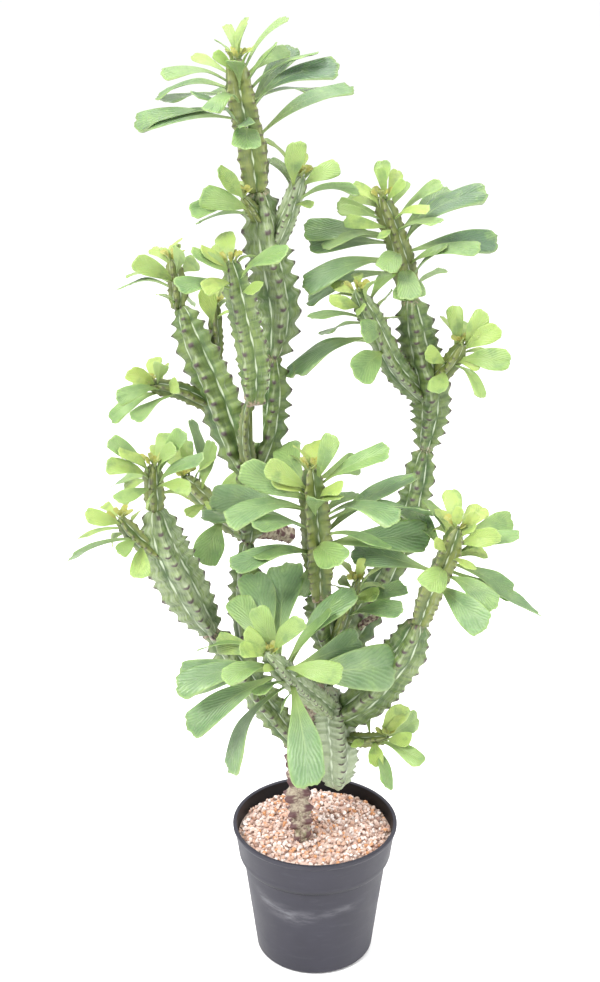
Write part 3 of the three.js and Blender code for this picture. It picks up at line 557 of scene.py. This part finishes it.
def make_leaves(shoot, seed):
    """All the leaves of one shoot, with the small young ones round its bud, as one piece."""
    random = np.random.default_rng(seed)
    curve, distance = centripetal(shoot["path"])
    last = len(shoot["leaves"]) - 1
    blades = []
    for index, (heading, lift, length, width, twist) in enumerate(shoot["leaves"]):
        share = (index / last) ** LEAF_CROWDING
        place = shoot["leaves_from"] + (0.98 - shoot["leaves_from"]) * share
        foot, chord, across = leaf_frame(shoot, curve, distance, place, heading, lift, twist)
        age = np.clip(0.12 + 0.88 * (length - SHORT_LEAF) / LEAF_AGEING, 0.1, 1) * (1 - 0.30 * share)
        size = (length * MM, width * MM * LEAF_WIDENING * NARROW_SHOOTS.get(shoot["name"], 1))
        blades.append((foot, chord, across, *size, age))
    for index in range(BUD_LEAVES):
        heading = index * TURN_BETWEEN_LEAVES + seed * 40
        foot, chord, across = leaf_frame(shoot, curve, distance, BUD_PLACE, heading, 78 - 5 * index, 0)
        length = BUD_LENGTH + BUD_GROWTH * index
        blades.append((foot, chord, across, length, length * 0.5, BUD_AGE))
    vertices, faces, marks = [], [], {}
    start = 0
    lots = (0.2, 1) if shoot["name"] in DARK_SHOOTS else (0, 0.62)
    for foot, chord, across, length, width, age in blades:
        points, quads, found = leaf_blade(foot, chord, across, length, width, random)
        found["age"] = np.full(len(points), age + random.uniform(-0.12, 0.12))
        found["lot"] = np.full(len(points), random.uniform(*lots))
        vertices.append(points)
        faces.append(quads + start)
        start += len(points)
        for key, values in found.items():
            marks.setdefault(key, []).append(values)
    marks = {key: np.concatenate(values) for key, values in marks.items()}
    return mesh_piece(shoot["name"] + "_leaves", np.concatenate(vertices), np.concatenate(faces), marks)


# ---- Shader helpers -----------------------------------------------------------------------------

class Shader:
    """A material's node tree, built a node at a time."""

    def __init__(self, name):
        self.material = bpy.data.materials.new(name)
        self.material.use_nodes = True
        self.tree = self.material.node_tree
        self.surface = self.tree.nodes["Principled BSDF"]

    def put(self, socket, value):
        if isinstance(value, bpy.types.NodeSocket):
            self.tree.links.new(value, socket)
        else:
            socket.default_value = value

    def node(self, kind, inputs, output=0, **settings):
        node = self.tree.nodes.new(kind)
        for key, value in settings.items():
            setattr(node, key, value)
        for key, value in inputs.items():
            self.put(node.inputs[key], value)
        return node.outputs[output]

    def mark(self, name, output="Fac"):
        return self.node("ShaderNodeAttribute", {}, output, attribute_name=name)

    def math(self, operation, first, second=0.0, third=0.0, clamp=False):
        inputs = {0: first, 1: second, 2: third}
        return self.node("ShaderNodeMath", inputs, 0, operation=operation, use_clamp=clamp)

    def times(self, first, second):
        return self.math("MULTIPLY", first, second)

    def plus(self, first, second):
        return self.math("ADD", first, second)

    def span(self, value, low, high, out_low=0.0, out_high=1.0):
        """value from low..high to out_low..out_high, kept inside."""
        inputs = {"Value": value, "From Min": low, "From Max": high,
                  "To Min": out_low, "To Max": out_high}
        return self.node("ShaderNodeMapRange", inputs, 0, interpolation_type="SMOOTHSTEP")

    def mix(self, share, first, second, blend="MIX"):
        node = self.tree.nodes.new("ShaderNodeMix")
        node.data_type = "RGBA"
        node.blend_type = blend
        self.put(node.inputs["Factor"], share)
        self.put(node.inputs[6], (*first, 1) if isinstance(first, tuple) else first)
        self.put(node.inputs[7], (*second, 1) if isinstance(second, tuple) else second)
        return node.outputs[2]

    def noise(self, vector, scale, detail=3.0, roughness=0.55, distortion=0.0):
        inputs = {"Vector": vector, "Scale": scale, "Detail": detail, "Roughness": roughness,
                  "Distortion": distortion}
        return self.node("ShaderNodeTexNoise", inputs, "Fac")

    def scaled(self, vector, scale):
        return self.node("ShaderNodeMapping", {"Vector": vector, "Scale": scale}, 0)

    def position(self):
        return self.node("ShaderNodeTexCoord", {}, "Object")

    def bump(self, height, strength, distance):
        inputs = {"Height": height, "Strength": strength, "Distance": distance}
        self.put(self.surface.inputs["Normal"], self.node("ShaderNodeBump", inputs, 0))

    def finish(self, colour, roughness):
        self.put(self.surface.inputs["Base Color"], colour)
        self.put(self.surface.inputs["Roughness"], roughness)
        return self.material


# ---- Finishes -----------------------------------------------------------------------------------

def dimmed(colour, share):
    return tuple(share * c for c in colour)


def leaf_finish():
    """Yellow-green when young, grey-green later, with a pale stalk and slanting veins."""
    s = Shader("leaf")
    place, column, margin = s.mark("place"), s.mark("column"), s.mark("margin")
    age, lot, under = s.mark("age"), s.mark("lot"), s.mark("under")
    young = s.mix(lot, (0.32, 0.385, 0.095), (0.23, 0.34, 0.085))
    middle = s.mix(lot, (0.150, 0.245, 0.072), (0.185, 0.265, 0.098))
    old = s.mix(s.span(lot, 0.45, 0.85), (0.128, 0.205, 0.086), (0.062, 0.108, 0.060))
    blade = s.mix(s.span(age, 0.12, 0.45), young, middle)
    blade = s.mix(s.span(age, 0.45, 0.85), blade, old)
    blade = s.mix(s.span(age, -0.4, -0.2, 0.9, 0.0), blade, (0.30, 0.27, 0.05))
    cloud = s.noise(s.position(), 45.0, 5.0, 0.62)
    blade = s.mix(s.span(cloud, 0.47, 0.68, 0.0, 0.6), blade, (0.075, 0.145, 0.055))
    blade = s.mix(s.span(cloud, 0.28, 0.48, 0.45, 0.0), blade, (0.23, 0.34, 0.105))
    foot = s.mix(lot, (0.28, 0.37, 0.105), (0.23, 0.32, 0.115))
    blade = s.mix(s.span(place, 0.0, 0.6, 0.9, 0.0), blade, foot)
    aside = s.math("ABSOLUTE", column)
    wander = s.times(s.noise(s.position(), 60.0, 3.0), 13.0)
    slant = s.math("MULTIPLY_ADD", place, 62.0, s.times(aside, -34.0))
    wave = s.math("SINE", s.plus(slant, wander))
    vein = s.times(s.span(wave, 0.45, 1.0), s.span(place, 0.15, 0.5, 0.0, 0.50))
    vein = s.times(vein, s.span(lot, 0.3, 0.9, 0.6, 1.0))
    blade = s.mix(vein, blade, s.mix(s.span(age, 0.1, 0.6), (0.19, 0.29, 0.06), (0.055, 0.105, 0.045)))
    rib = s.times(s.span(aside, 0.0, 0.09, 0.6, 0.0), s.span(place, 0.3, 0.85, 1.0, 0.0))
    blade = s.mix(rib, blade, (0.27, 0.36, 0.135))
    blade = s.mix(s.times(margin, 0.45), blade, (0.27, 0.36, 0.12))
    blade = s.mix(s.times(under, 0.35), blade, (0.19, 0.27, 0.14))
    crinkle = s.noise(s.position(), 260.0, 4.0, 0.6)
    s.bump(s.plus(s.times(wave, -0.35), crinkle), 0.5, 0.0008)
    s.surface.inputs["Subsurface Weight"].default_value = 0.15
    s.surface.inputs["Subsurface Radius"].default_value = (0.5, 0.9, 0.2)
    s.surface.inputs["Subsurface Scale"].default_value = 0.003
    s.surface.inputs["Specular IOR Level"].default_value = 0.5
    return s.finish(blade, s.span(cloud, 0.3, 0.7, 0.38, 0.55))


def stem_finish(name, light, dark, crest_highlight_colour, crest_highlight_share, groove_share, tip_share, band_and_hollow_shade_share):
    """Green skin with dark tooth tips, chalky bloom and corky ends, painted highlights along the rib
    crests and painted shade in the valleys and between the teeth.
    """
    s = Shader(name)
    skin = s.mark("skin", "Vector")
    crest, tooth, scar, chalk = s.mark("crest"), s.mark("tooth"), s.mark("scar"), s.mark("chalk")
    streaks = s.noise(s.scaled(skin, (420.0, 60.0, 40.0)), 1.0, 6.0, 0.62)
    patches = s.noise(s.scaled(skin, (60.0, 22.0, 20.0)), 1.0, 4.0, 0.55)
    fine = s.noise(s.scaled(skin, (900.0, 600.0, 100.0)), 1.0, 3.0)
    # The crest term makes the skin lighter towards the rib crests and darker in the valleys, which is
    # painted shade; the patches are the skin's own tone.
    lift = s.plus(s.times(crest, 0.35), s.times(patches, 1.4))
    green = s.mix(s.span(lift, 0.55, 1.1), dark, light)
    hoops = s.noise(s.scaled(skin, (30.0, 420.0, 30.0)), 1.0, 4.0, 0.6)
    green = s.mix(s.span(hoops, 0.50, 0.72, 0.0, 0.9 * band_and_hollow_shade_share), green, dimmed(dark, 0.6))
    green = s.mix(s.span(streaks, 0.45, 0.75, 0.0, 0.5), green, dimmed(dark, 0.55))
    near_tooth = s.times(s.span(tooth, 0.2, 0.9), s.span(crest, 0.3, 0.9))
    green = s.mix(s.times(near_tooth, 0.45), green, dimmed(dark, 0.55))
    # Painted shade in the hollows between the teeth, down the ribs' flanks.
    pleat_hollow_shade = s.times(s.span(tooth, 0.08, 0.42, band_and_hollow_shade_share, 0.0), s.span(crest, 0.05, 0.3))
    green = s.mix(pleat_hollow_shade, green, dimmed(dark, 0.45))
    bloom = s.plus(s.times(s.math("SUBTRACT", streaks, 0.5), 2.0), chalk)
    bloom = s.plus(bloom, s.times(s.math("SUBTRACT", patches, 0.5), 0.9))
    bloom = s.plus(bloom, s.times(crest, 0.18))
    green = s.mix(s.span(bloom, 0.15, 1.0, 0.0, 0.70), green, (0.34, 0.39, 0.27))
    groove = s.times(s.span(crest, 0.01, 0.11, groove_share, 0.0),
                    s.span(streaks, 0.30, 0.50, 0.35, 1.0))
    green = s.mix(groove, green, (0.53, 0.59, 0.44))
    # Painted highlight: a pale line along each rib's crest.
    crest_highlight = s.times(s.span(crest, 0.88, 0.96), s.span(streaks, 0.35, 0.55, 0.15, 1.0))
    green = s.mix(s.times(crest_highlight, crest_highlight_share), green, crest_highlight_colour)
    cork_noise = s.noise(s.scaled(skin, (150.0, 200.0, 60.0)), 1.0, 5.0, 0.65)
    cork = s.mix(s.span(cork_noise, 0.35, 0.62), (0.085, 0.05, 0.036), (0.38, 0.28, 0.21))
    corky = s.plus(scar, s.times(s.math("SUBTRACT", cork_noise, 0.5), 1.6))
    green = s.mix(s.span(corky, 0.40, 0.75, 0.0, 0.9), green, cork)
    tip = s.times(s.span(tooth, 0.64, 0.88), s.span(crest, 0.74, 0.90))
    green = s.mix(s.times(tip, tip_share), green, (0.055, 0.034, 0.036))
    s.bump(s.plus(streaks, s.times(fine, 0.4)), 0.6, 0.0010)
    s.surface.inputs["Specular IOR Level"].default_value = 0.5
    return s.finish(green, s.span(streaks, 0.3, 0.7, 0.36, 0.58))


def wood_finish():
    """Pale brown bark with reddish hoops, some green left in it, and dark tooth tips."""
    s = Shader("woody_bark")
    skin = s.mark("skin", "Vector")
    crest, tooth, cut = s.mark("crest"), s.mark("tooth"), s.mark("cut")
    coarse = s.noise(s.scaled(skin, (110.0, 260.0, 40.0)), 1.0, 5.0, 0.65)
    fine = s.noise(s.scaled(skin, (600.0, 500.0, 60.0)), 1.0, 4.0, 0.6)
    patches = s.noise(s.scaled(skin, (50.0, 60.0, 40.0)), 1.0, 3.0, 0.6)
    bark = s.mix(s.span(coarse, 0.36, 0.58), (0.13, 0.075, 0.062), (0.42, 0.36, 0.27))
    bark = s.mix(s.span(patches, 0.54, 0.70, 0.0, 0.65), bark, (0.26, 0.30, 0.14))
    bark = s.mix(s.span(fine, 0.55, 0.75, 0.0, 0.5), bark, (0.55, 0.47, 0.34))
    tip = s.times(s.span(tooth, 0.35, 0.65), s.span(crest, 0.35, 0.65))
    bark = s.mix(s.times(tip, 0.90), bark, (0.095, 0.036, 0.044))
    bark = s.mix(s.times(cut, 0.6), bark, (0.33, 0.27, 0.20))
    s.bump(s.plus(coarse, s.times(fine, 0.5)), 0.8, 0.0012)
    return s.finish(bark, s.span(fine, 0.3, 0.7, 0.65, 0.88))


def gravel_finish():
    """Pink, cream and tan stones, each with one colour, and speckled."""
    s = Shader("gravel")
    lot = s.mark("lot")
    ramp = s.tree.nodes.new("ShaderNodeValToRGB")
    stops = [(0.0, (0.58, 0.44, 0.37)), (0.20, (0.54, 0.34, 0.25)), (0.36, (0.64, 0.55, 0.51)),
             (0.54, (0.54, 0.26, 0.12)), (0.64, (0.56, 0.41, 0.35)), (0.78, (0.28, 0.17, 0.13)),
             (0.85, (0.70, 0.64, 0.61)), (0.94, (0.46, 0.28, 0.22))]
    ramp.color_ramp.interpolation = "CONSTANT"
    while len(ramp.color_ramp.elements) < len(stops):
        ramp.color_ramp.elements.new(0.5)
    for element, (place, colour) in zip(ramp.color_ramp.elements, stops):
        element.position = place
        element.color = (*colour, 1)
    s.put(ramp.inputs[0], lot)
    speckle = s.noise(s.position(), 900.0, 4.0, 0.6)
    stone = s.mix(s.span(speckle, 0.52, 0.72, 0.0, 0.5), ramp.outputs[0], (0.44, 0.24, 0.14))
    pale = s.span(s.noise(s.position(), 420.0, 2.0), 0.5, 0.8, 0.0, 0.5)
    stone = s.mix(pale, stone, (0.70, 0.61, 0.55))
    s.bump(speckle, 0.5, 0.0006)
    return s.finish(stone, s.span(speckle, 0.3, 0.7, 0.55, 0.85))


def mix_finish():
    """Dark crumbs."""
    s = Shader("potting_mix")
    crumbs = s.noise(s.position(), 260.0, 5.0, 0.7)
    soil = s.mix(s.span(crumbs, 0.35, 0.7), (0.020, 0.013, 0.009), (0.10, 0.065, 0.04))
    s.bump(crumbs, 0.9, 0.002)
    return s.finish(soil, s.span(crumbs, 0.3, 0.7, 0.8, 0.97))


def pot_finish():
    """Satin charcoal plastic, slightly mottled, with chalky scuffs round the body, painted shade on the
    inner wall and a painted shadow line under the band.
    """
    s = Shader("pot_plastic")
    where = s.position()
    cloud = s.noise(where, 22.0, 4.0)
    fine = s.noise(where, 1400.0, 2.0)
    smear = s.noise(s.scaled(where, (40.0, 40.0, 160.0)), 1.0, 6.0, 0.65, 0.3)
    plastic = s.mix(s.span(cloud, 0.3, 0.7), (0.022, 0.021, 0.030), (0.029, 0.028, 0.039))
    scuff = s.times(s.mark("scuff"), s.span(smear, 0.38, 0.62, 0.15, 1.0))
    plastic = s.mix(s.times(scuff, 0.38), plastic, (0.24, 0.24, 0.26))
    dust = s.times(s.span(smear, 0.50, 0.8), 0.12)
    plastic = s.mix(dust, plastic, (0.12, 0.12, 0.14))
    # Painted shade: the inner wall is darkened almost to black.
    plastic = s.mix(s.times(s.mark("inside"), 0.95), plastic, (0.003, 0.003, 0.004))
    # Painted shadow: a dark line under the band.
    plastic = s.mix(s.times(s.mark("painted_band_shadow"), 0.85), plastic, (0.005, 0.005, 0.007))
    s.bump(fine, 0.15, 0.0004)
    s.surface.inputs["Specular IOR Level"].default_value = 0.28
    return s.finish(plastic, s.span(cloud, 0.3, 0.7, 0.44, 0.56))


# ---- Pot ----------------------------------------------------------------------------------------

POT_SIDES = 160
DRAIN_HOLES = 6
DRAIN_HOLE_RADIUS = 0.005
DRAIN_RING_RADIUS = 0.046
BAND_HEIGHT = 0.045
BAND_CHAMFER = 0.011
BAND_TAPER = 0.004
RIM_HEIGHT = 0.004
RIM_STEP = 0.0022
SHOULDER_RADIUS = 0.083
BASE_RADIUS = 0.068
BASE_ROUNDING = 0.003
WALL = 0.0022
FLOOR = 0.003
MARK_STEP = 0.0012  # between the rings of the pot, so that marks can vary along it
# The height of the painted shadow line under the band.
BAND_SHADOW_HEIGHT = 0.1213
# The pot's outside, which its inner wall is told from: heights, and the radii at them.
OUTSIDE = ([0, 0.121, 0.132, 0.166],
           [BASE_RADIUS, SHOULDER_RADIUS, SHOULDER_RADIUS + 0.0058, SHOULDER_RADIUS + 0.0098])
# Chalky rubbed arcs: heading, height, length, drop, bend, width, strength.
SCUFFS = (
    (-0.45, 0.0865, 0.46, 0.006, 0.007, 0.0080, 1.0),
    (0.42, 0.0940, 0.36, -0.005, 0.002, 0.0050, 0.55),
    (2.6, 0.080, 0.5, 0.012, 0.0, 0.005, 0.8),
    (-2.2, 0.060, 0.4, -0.01, 0.0, 0.004, 0.6),
)


def rounded(corners, radius=0.0012, steps=4):
    """A profile with each inner corner replaced by a short curve. The first and last stay."""
    points = [np.array(corners[0])]
    for before, corner, after in zip(corners, corners[1:], corners[2:]):
        before, corner, after = (np.array(p, float) for p in (before, corner, after))
        back, on = before - corner, after - corner
        reach = min(radius, 0.45 * np.linalg.norm(back), 0.45 * np.linalg.norm(on))
        start = corner + back / np.linalg.norm(back) * reach
        end = corner + on / np.linalg.norm(on) * reach
        for t in np.linspace(0, 1, steps):
            points.append((1 - t) ** 2 * start + 2 * t * (1 - t) * corner + t ** 2 * end)
    points.append(np.array(corners[-1]))
    return np.array(points)


def filled_in(profile, step):
    """The profile with extra points, a step or less apart."""
    points = [profile[0]]
    for a, b in zip(profile, profile[1:]):
        count = max(1, int(np.linalg.norm(b - a) / step))
        points += [a + (b - a) * (k + 1) / count for k in range(count)]
    return np.array(points)


def lathe(name, profile, marks=None):
    """A closed profile of (radius, height) turned round the Z axis; it starts and ends on the axis."""
    angle = np.linspace(0, 2 * np.pi, POT_SIDES, endpoint=False)
    inner = profile[1:-1]
    rings = np.stack([inner[:, :1] * np.cos(angle), inner[:, :1] * np.sin(angle),
                      np.repeat(inner[:, 1:], POT_SIDES, 1)], -1)
    vertices = np.array([*rings.reshape(-1, 3), (0, 0, profile[0, 1]), (0, 0, profile[-1, 1])])
    faces = [tuple(f) for f in ring_faces(len(inner), POT_SIDES)]
    foot, head = len(vertices) - 2, len(vertices) - 1
    last_ring = (len(inner) - 1) * POT_SIDES
    for corner in range(POT_SIDES):
        following = (corner + 1) % POT_SIDES
        faces.append((following, corner, foot))
        faces.append((last_ring + corner, last_ring + following, head))
    attributes = {key: rule(vertices) for key, rule in (marks or {}).items()}
    return mesh_piece(name, vertices, faces, attributes)


def scuffs(vertices):
    """How rubbed the pot's outside is."""
    heading = np.arctan2(vertices[:, 0], -vertices[:, 1])
    outside = np.hypot(vertices[:, 0], vertices[:, 1]) > BASE_RADIUS - 0.001
    total = np.zeros(len(vertices))
    for middle, height, reach, drop, bend, wide, strength in SCUFFS:
        away = (heading - middle + np.pi) % (2 * np.pi) - np.pi
        line = height - drop * away / reach + bend * (away / reach) ** 2
        mark = np.exp(-((vertices[:, 2] - line) / wide) ** 2) * np.exp(-(away / reach) ** 4)
        total = np.maximum(total, strength * mark)
    return total * outside


def inner_wall_shade(vertices):
    """Painted shade: the inner wall, darkened below the rim's edge."""
    out = np.interp(vertices[:, 2], *OUTSIDE)
    inside = np.hypot(vertices[:, 0], vertices[:, 1]) < out - 0.0012
    return inside * (vertices[:, 2] < 0.1652) * 1.0


def painted_band_shadow(vertices):
    """Painted shadow: a dark line under the band's overhang, fading up over the curve beneath the band.
    """
    outside = np.hypot(vertices[:, 0], vertices[:, 1]) > SHOULDER_RADIUS - 0.0012
    over = vertices[:, 2] - BAND_SHADOW_HEIGHT
    return outside * np.exp(-(over / np.where(over > 0, 0.0042, 0.0009)) ** 2)


def make_pot():
    """The pot, turned round its axis, with its drain holes cut."""
    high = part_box("pot")[1]
    height, rim = high.z, high.x
    band = rim - RIM_STEP
    band_foot = band - BAND_TAPER
    shoulder = height - BAND_HEIGHT
    under = [(SHOULDER_RADIUS + (band_foot - SHOULDER_RADIUS) * math.sin(bend),
              shoulder + BAND_CHAMFER * (1 - math.cos(bend))) for bend in np.linspace(0, math.pi / 2, 9)]
    corners = [(0, 0), (BASE_RADIUS - BASE_ROUNDING, 0), (BASE_RADIUS, BASE_ROUNDING), *under,
               (band, height - RIM_HEIGHT - RIM_STEP),
               (rim, height - RIM_HEIGHT), (rim, height), (band - WALL, height),
               (band_foot - WALL, shoulder + BAND_CHAMFER), (SHOULDER_RADIUS - WALL, shoulder),
               (BASE_RADIUS - WALL, FLOOR), (0, FLOOR)]
    marks = {"scuff": scuffs, "inside": inner_wall_shade, "painted_band_shadow": painted_band_shadow}
    pot = lathe("nursery_pot", filled_in(rounded(corners), MARK_STEP), marks)
    for hole in range(DRAIN_HOLES):
        angle = 2 * math.pi * (hole + 0.5) / DRAIN_HOLES
        bpy.ops.mesh.primitive_cylinder_add(
            vertices=28, radius=DRAIN_HOLE_RADIUS, depth=6 * FLOOR,
            location=(DRAIN_RING_RADIUS * math.cos(angle), DRAIN_RING_RADIUS * math.sin(angle), 0))
        cutter = bpy.context.object
        cut = pot.modifiers.new("drain", "BOOLEAN")
        cut.operation, cut.object, cut.solver = "DIFFERENCE", cutter, "EXACT"
        bpy.context.view_layer.objects.active = pot
        bpy.ops.object.modifier_apply(modifier=cut.name)
        bpy.data.objects.remove(cutter)
    return pot


# ---- Gravel -------------------------------------------------------------------------------------

def grain_shapes(count=7):
    """A few rough pebble shapes: bent icospheres of unit size."""
    mesh = bmesh.new()
    bmesh.ops.create_icosphere(mesh, subdivisions=2, radius=1)
    ball = np.array([v.co for v in mesh.verts])
    faces = np.array([[v.index for v in f.verts] for f in mesh.faces])
    mesh.free()
    shapes = []
    for _ in range(count):
        bent = ball.copy()
        for _ in range(GRAIN_FACETS):
            side = rng.normal(size=3)
            side /= np.linalg.norm(side)
            over = np.maximum(0, bent @ side - rng.uniform(0.45, 0.8))
            bent -= over[:, None] * side
        shapes.append(bent * rng.uniform(0.75, 1.15, 3))
    return shapes, faces


def random_turn():
    """A random rotation, as a matrix."""
    turn, _ = np.linalg.qr(rng.normal(size=(3, 3)))
    return turn


def foot_in_gravel(stem):
    """The middle and radius of the place where a stem goes into the gravel."""
    curve, _ = centripetal(stem["path"])
    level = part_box("gravel")[1].z
    crossing = curve[np.argmin(np.abs(curve[:, 2] - level))]
    return crossing[0], crossing[1], stem["radius"] * MM * FOOT_SHARE


def make_gravel(stem):
    """The bed under the grains, and the grains themselves round a stem's foot, as one piece."""
    low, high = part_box("gravel")
    radius = high.x
    edge_top = high.z - GRAVEL_CROWN
    foot_x, foot_y, foot_radius = foot_in_gravel(stem)
    shapes, triangles = grain_shapes()
    vertices, faces, lots = [], [], []
    start = 0
    placed = 0
    while placed < GRAIN_COUNT:
        x, y = rng.uniform(-radius, radius, 2)
        away = math.hypot(x, y)
        size = rng.uniform(*GRAIN_SIZE) * (0.75 if rng.uniform() < 0.2 else 1)
        if away > radius - size * 0.9:
            continue
        if math.hypot(x - foot_x, y - foot_y) < foot_radius:
            continue
        height = edge_top + GRAVEL_CROWN * (1 - (away / radius) ** 2) + rng.uniform(-0.0022, 0.0016)
        points = shapes[rng.integers(len(shapes))] @ random_turn() * size + (x, y, height)
        vertices.append(points)
        faces.append(triangles + start)
        lots.append(np.full(len(points), rng.uniform()))
        start += len(points)
        placed += 1
    angle = np.linspace(0, 2 * np.pi, BED_SIDES, endpoint=False)
    shell = [(radius, low.z), (radius, edge_top - BED_DEPTH),
             (radius * 0.6, edge_top + GRAVEL_CROWN * 0.5 - BED_DEPTH)]
    bed = np.array([(r * math.cos(a), r * math.sin(a), z) for r, z in shell for a in angle]
                   + [(0, 0, low.z), (0, 0, edge_top + GRAVEL_CROWN - BED_DEPTH)])
    quads = [tuple(q + start) for q in ring_faces(len(shell), BED_SIDES)]
    last_ring = start + (len(shell) - 1) * BED_SIDES
    for corner in range(BED_SIDES):
        following = (corner + 1) % BED_SIDES
        quads.append((start + following, start + corner, start + len(bed) - 2))
        quads.append((last_ring + corner, last_ring + following, start + len(bed) - 1))
    vertices.append(bed)
    lots.append(np.full(len(bed), 0.75))
    every = [tuple(f) for group in faces for f in group] + quads
    return mesh_piece("gravel_layer", np.concatenate(vertices), every, {"lot": np.concatenate(lots)},
                      smooth=False)


# ---- Tag ----------------------------------------------------------------------------------------

TAG_PLACE = (-0.0615, -0.006)
TAG_SPAN = (0.632, 0.690)  # its foot, and its head, tucked into the front upper shoot's foot
TAG_WIDTH = 0.0105
TAG_THICKNESS = 0.0005
TAG_BOW = 0.0012
TAG_CORNER = 0.003
TAG_ROWS = 30


def tag_finish():
    """White plastic with a little unevenness in its gloss."""
    s = Shader("tag_plastic")
    cloud = s.noise(s.position(), 120.0, 3.0)
    white = s.mix(cloud, (0.86, 0.86, 0.86), (0.91, 0.91, 0.91))
    return s.finish(white, s.span(cloud, 0.3, 0.7, 0.40, 0.55))


def make_tag():
    """A narrow blank plastic strip with rounded lower corners."""
    heights = np.linspace(*TAG_SPAN, TAG_ROWS)
    above = (heights - heights[0]) / TAG_CORNER
    share = 0.55 + 0.45 * np.sqrt(1 - np.clip(1 - above, 0, 1) ** 2)
    wide, thick = TAG_WIDTH / 2, TAG_THICKNESS / 2
    corners = ((-wide, -thick), (wide, -thick), (wide, thick), (-wide, thick))
    bow = -TAG_BOW * np.sin(np.pi * np.linspace(0, 1, TAG_ROWS))
    vertices = [np.array([TAG_PLACE[0] + x * part, TAG_PLACE[1] + y + bend, height])
                for height, part, bend in zip(heights, share, bow) for x, y in corners]
    last = len(vertices) - 4
    faces = [tuple(f) for f in ring_faces(TAG_ROWS, 4)]
    faces += [(3, 2, 1, 0), tuple(range(last, last + 4))]
    return mesh_piece("plant_tag", vertices, faces, {}, smooth=False)


# ---- The object ---------------------------------------------------------------------------------

leaf = leaf_finish()
# Each skin: its light and dark greens, then the colour and strength of its painted crest highlight, then
# its shares of pale groove, of dark tooth tips, and of bands with painted hollow shade.
young_stem = stem_finish("shoot_skin", (0.155, 0.180, 0.040), (0.052, 0.092, 0.023),
                         (0.30, 0.32, 0.15), 0.35, 0.65, 0.6, 0.08)
old_stem = stem_finish("joint_skin", (0.150, 0.210, 0.050), (0.050, 0.100, 0.024),
                       (0.34, 0.39, 0.24), 0.35, 0.80, 0.95, 0.5)
bark = wood_finish()

finish_piece(make_pot(), pot_finish(), ["pot"])
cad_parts["potting_mix"].data.materials.clear()
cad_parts["potting_mix"].data.materials.append(mix_finish())

finish_piece(make_gravel(STEMS[0]), gravel_finish(), ["gravel"])

for number, stem in enumerate(STEMS):
    piece = make_stem(stem, 100 + 10 * number)
    woody = stem["name"] in WOODY
    look = bark if woody else old_stem if stem["kind"] == "joint" else young_stem
    finish_piece(piece, look, [stem["name"]])

for number, shoot in enumerate(SHOOTS):
    stalk = make_stem(shoot, 500 + 10 * number)
    look = old_stem if shoot["name"] in GREY_SHOOTS else young_stem
    finish_piece(stalk, look, [shoot["name"]])
    leaves = make_leaves(shoot, 900 + number)
    finish_piece(leaves, leaf)

finish_piece(make_tag(), tag_finish())

# ---- Floor, light and camera --------------------------------------------------------------------

FOCAL_SHARE = 1611 / 982  # focal length over the picture's height
CAMERA_PLACE = (0, -1.6, 1.202)
CAMERA_DIP = 21.4  # degrees below level
CAMERA_TURN = 0.62  # degrees to the left
SENSOR_WIDTH = 36
WORLD_STRENGTH = 1.06
LIGHTS = (  # name, place, aim, size and power
    ("key", (-1.7, -1.7, 2.7), (0, 0, 0.5), 1.0, 138),
    ("fill", (2.0, -1.9, 1.7), (0, 0, 0.5), 1.4, 50),
    ("top", (0.2, 0.5, 3.0), (0, 0, 0.4), 2.4, 74),
)


def area_light(name, place, aim, size, power):
    data = bpy.data.lights.new(name, "AREA")
    data.shape, data.size, data.energy = "DISK", size, power
    lamp = bpy.data.objects.new(name, data)
    lamp.location = place
    lamp.rotation_euler = (Vector(aim) - Vector(place)).to_track_quat("-Z", "Y").to_euler()
    bpy.context.scene.collection.objects.link(lamp)


def make_stage():
    bpy.ops.mesh.primitive_plane_add(size=40, location=(0, 0, -0.0005))
    floor = bpy.context.object
    floor.name = "floor"
    s = Shader("pale_floor")
    cloud = s.noise(s.position(), 3.0, 2.0)
    floor.data.materials.append(s.finish(s.mix(cloud, (0.95, 0.95, 0.95), (0.97, 0.97, 0.97)), 0.9))
    world = bpy.data.worlds.new("studio")
    world.use_nodes = True
    world.node_tree.nodes["Background"].inputs["Color"].default_value = (1, 1, 1, 1)
    world.node_tree.nodes["Background"].inputs["Strength"].default_value = WORLD_STRENGTH
    bpy.context.scene.world = world
    bpy.context.scene.view_settings.view_transform = "Standard"
    for light in LIGHTS:
        area_light(*light)


def make_camera():
    data = bpy.data.cameras.new("camera")
    data.sensor_width = SENSOR_WIDTH
    data.lens = SENSOR_WIDTH * FOCAL_SHARE
    camera = bpy.data.objects.new("camera", data)
    camera.location = CAMERA_PLACE
    camera.rotation_euler = (math.radians(90 - CAMERA_DIP), 0, math.radians(CAMERA_TURN))
    bpy.context.scene.collection.objects.link(camera)
    bpy.context.scene.camera = camera


make_stage()
make_camera()

bpy.context.view_layer.update()
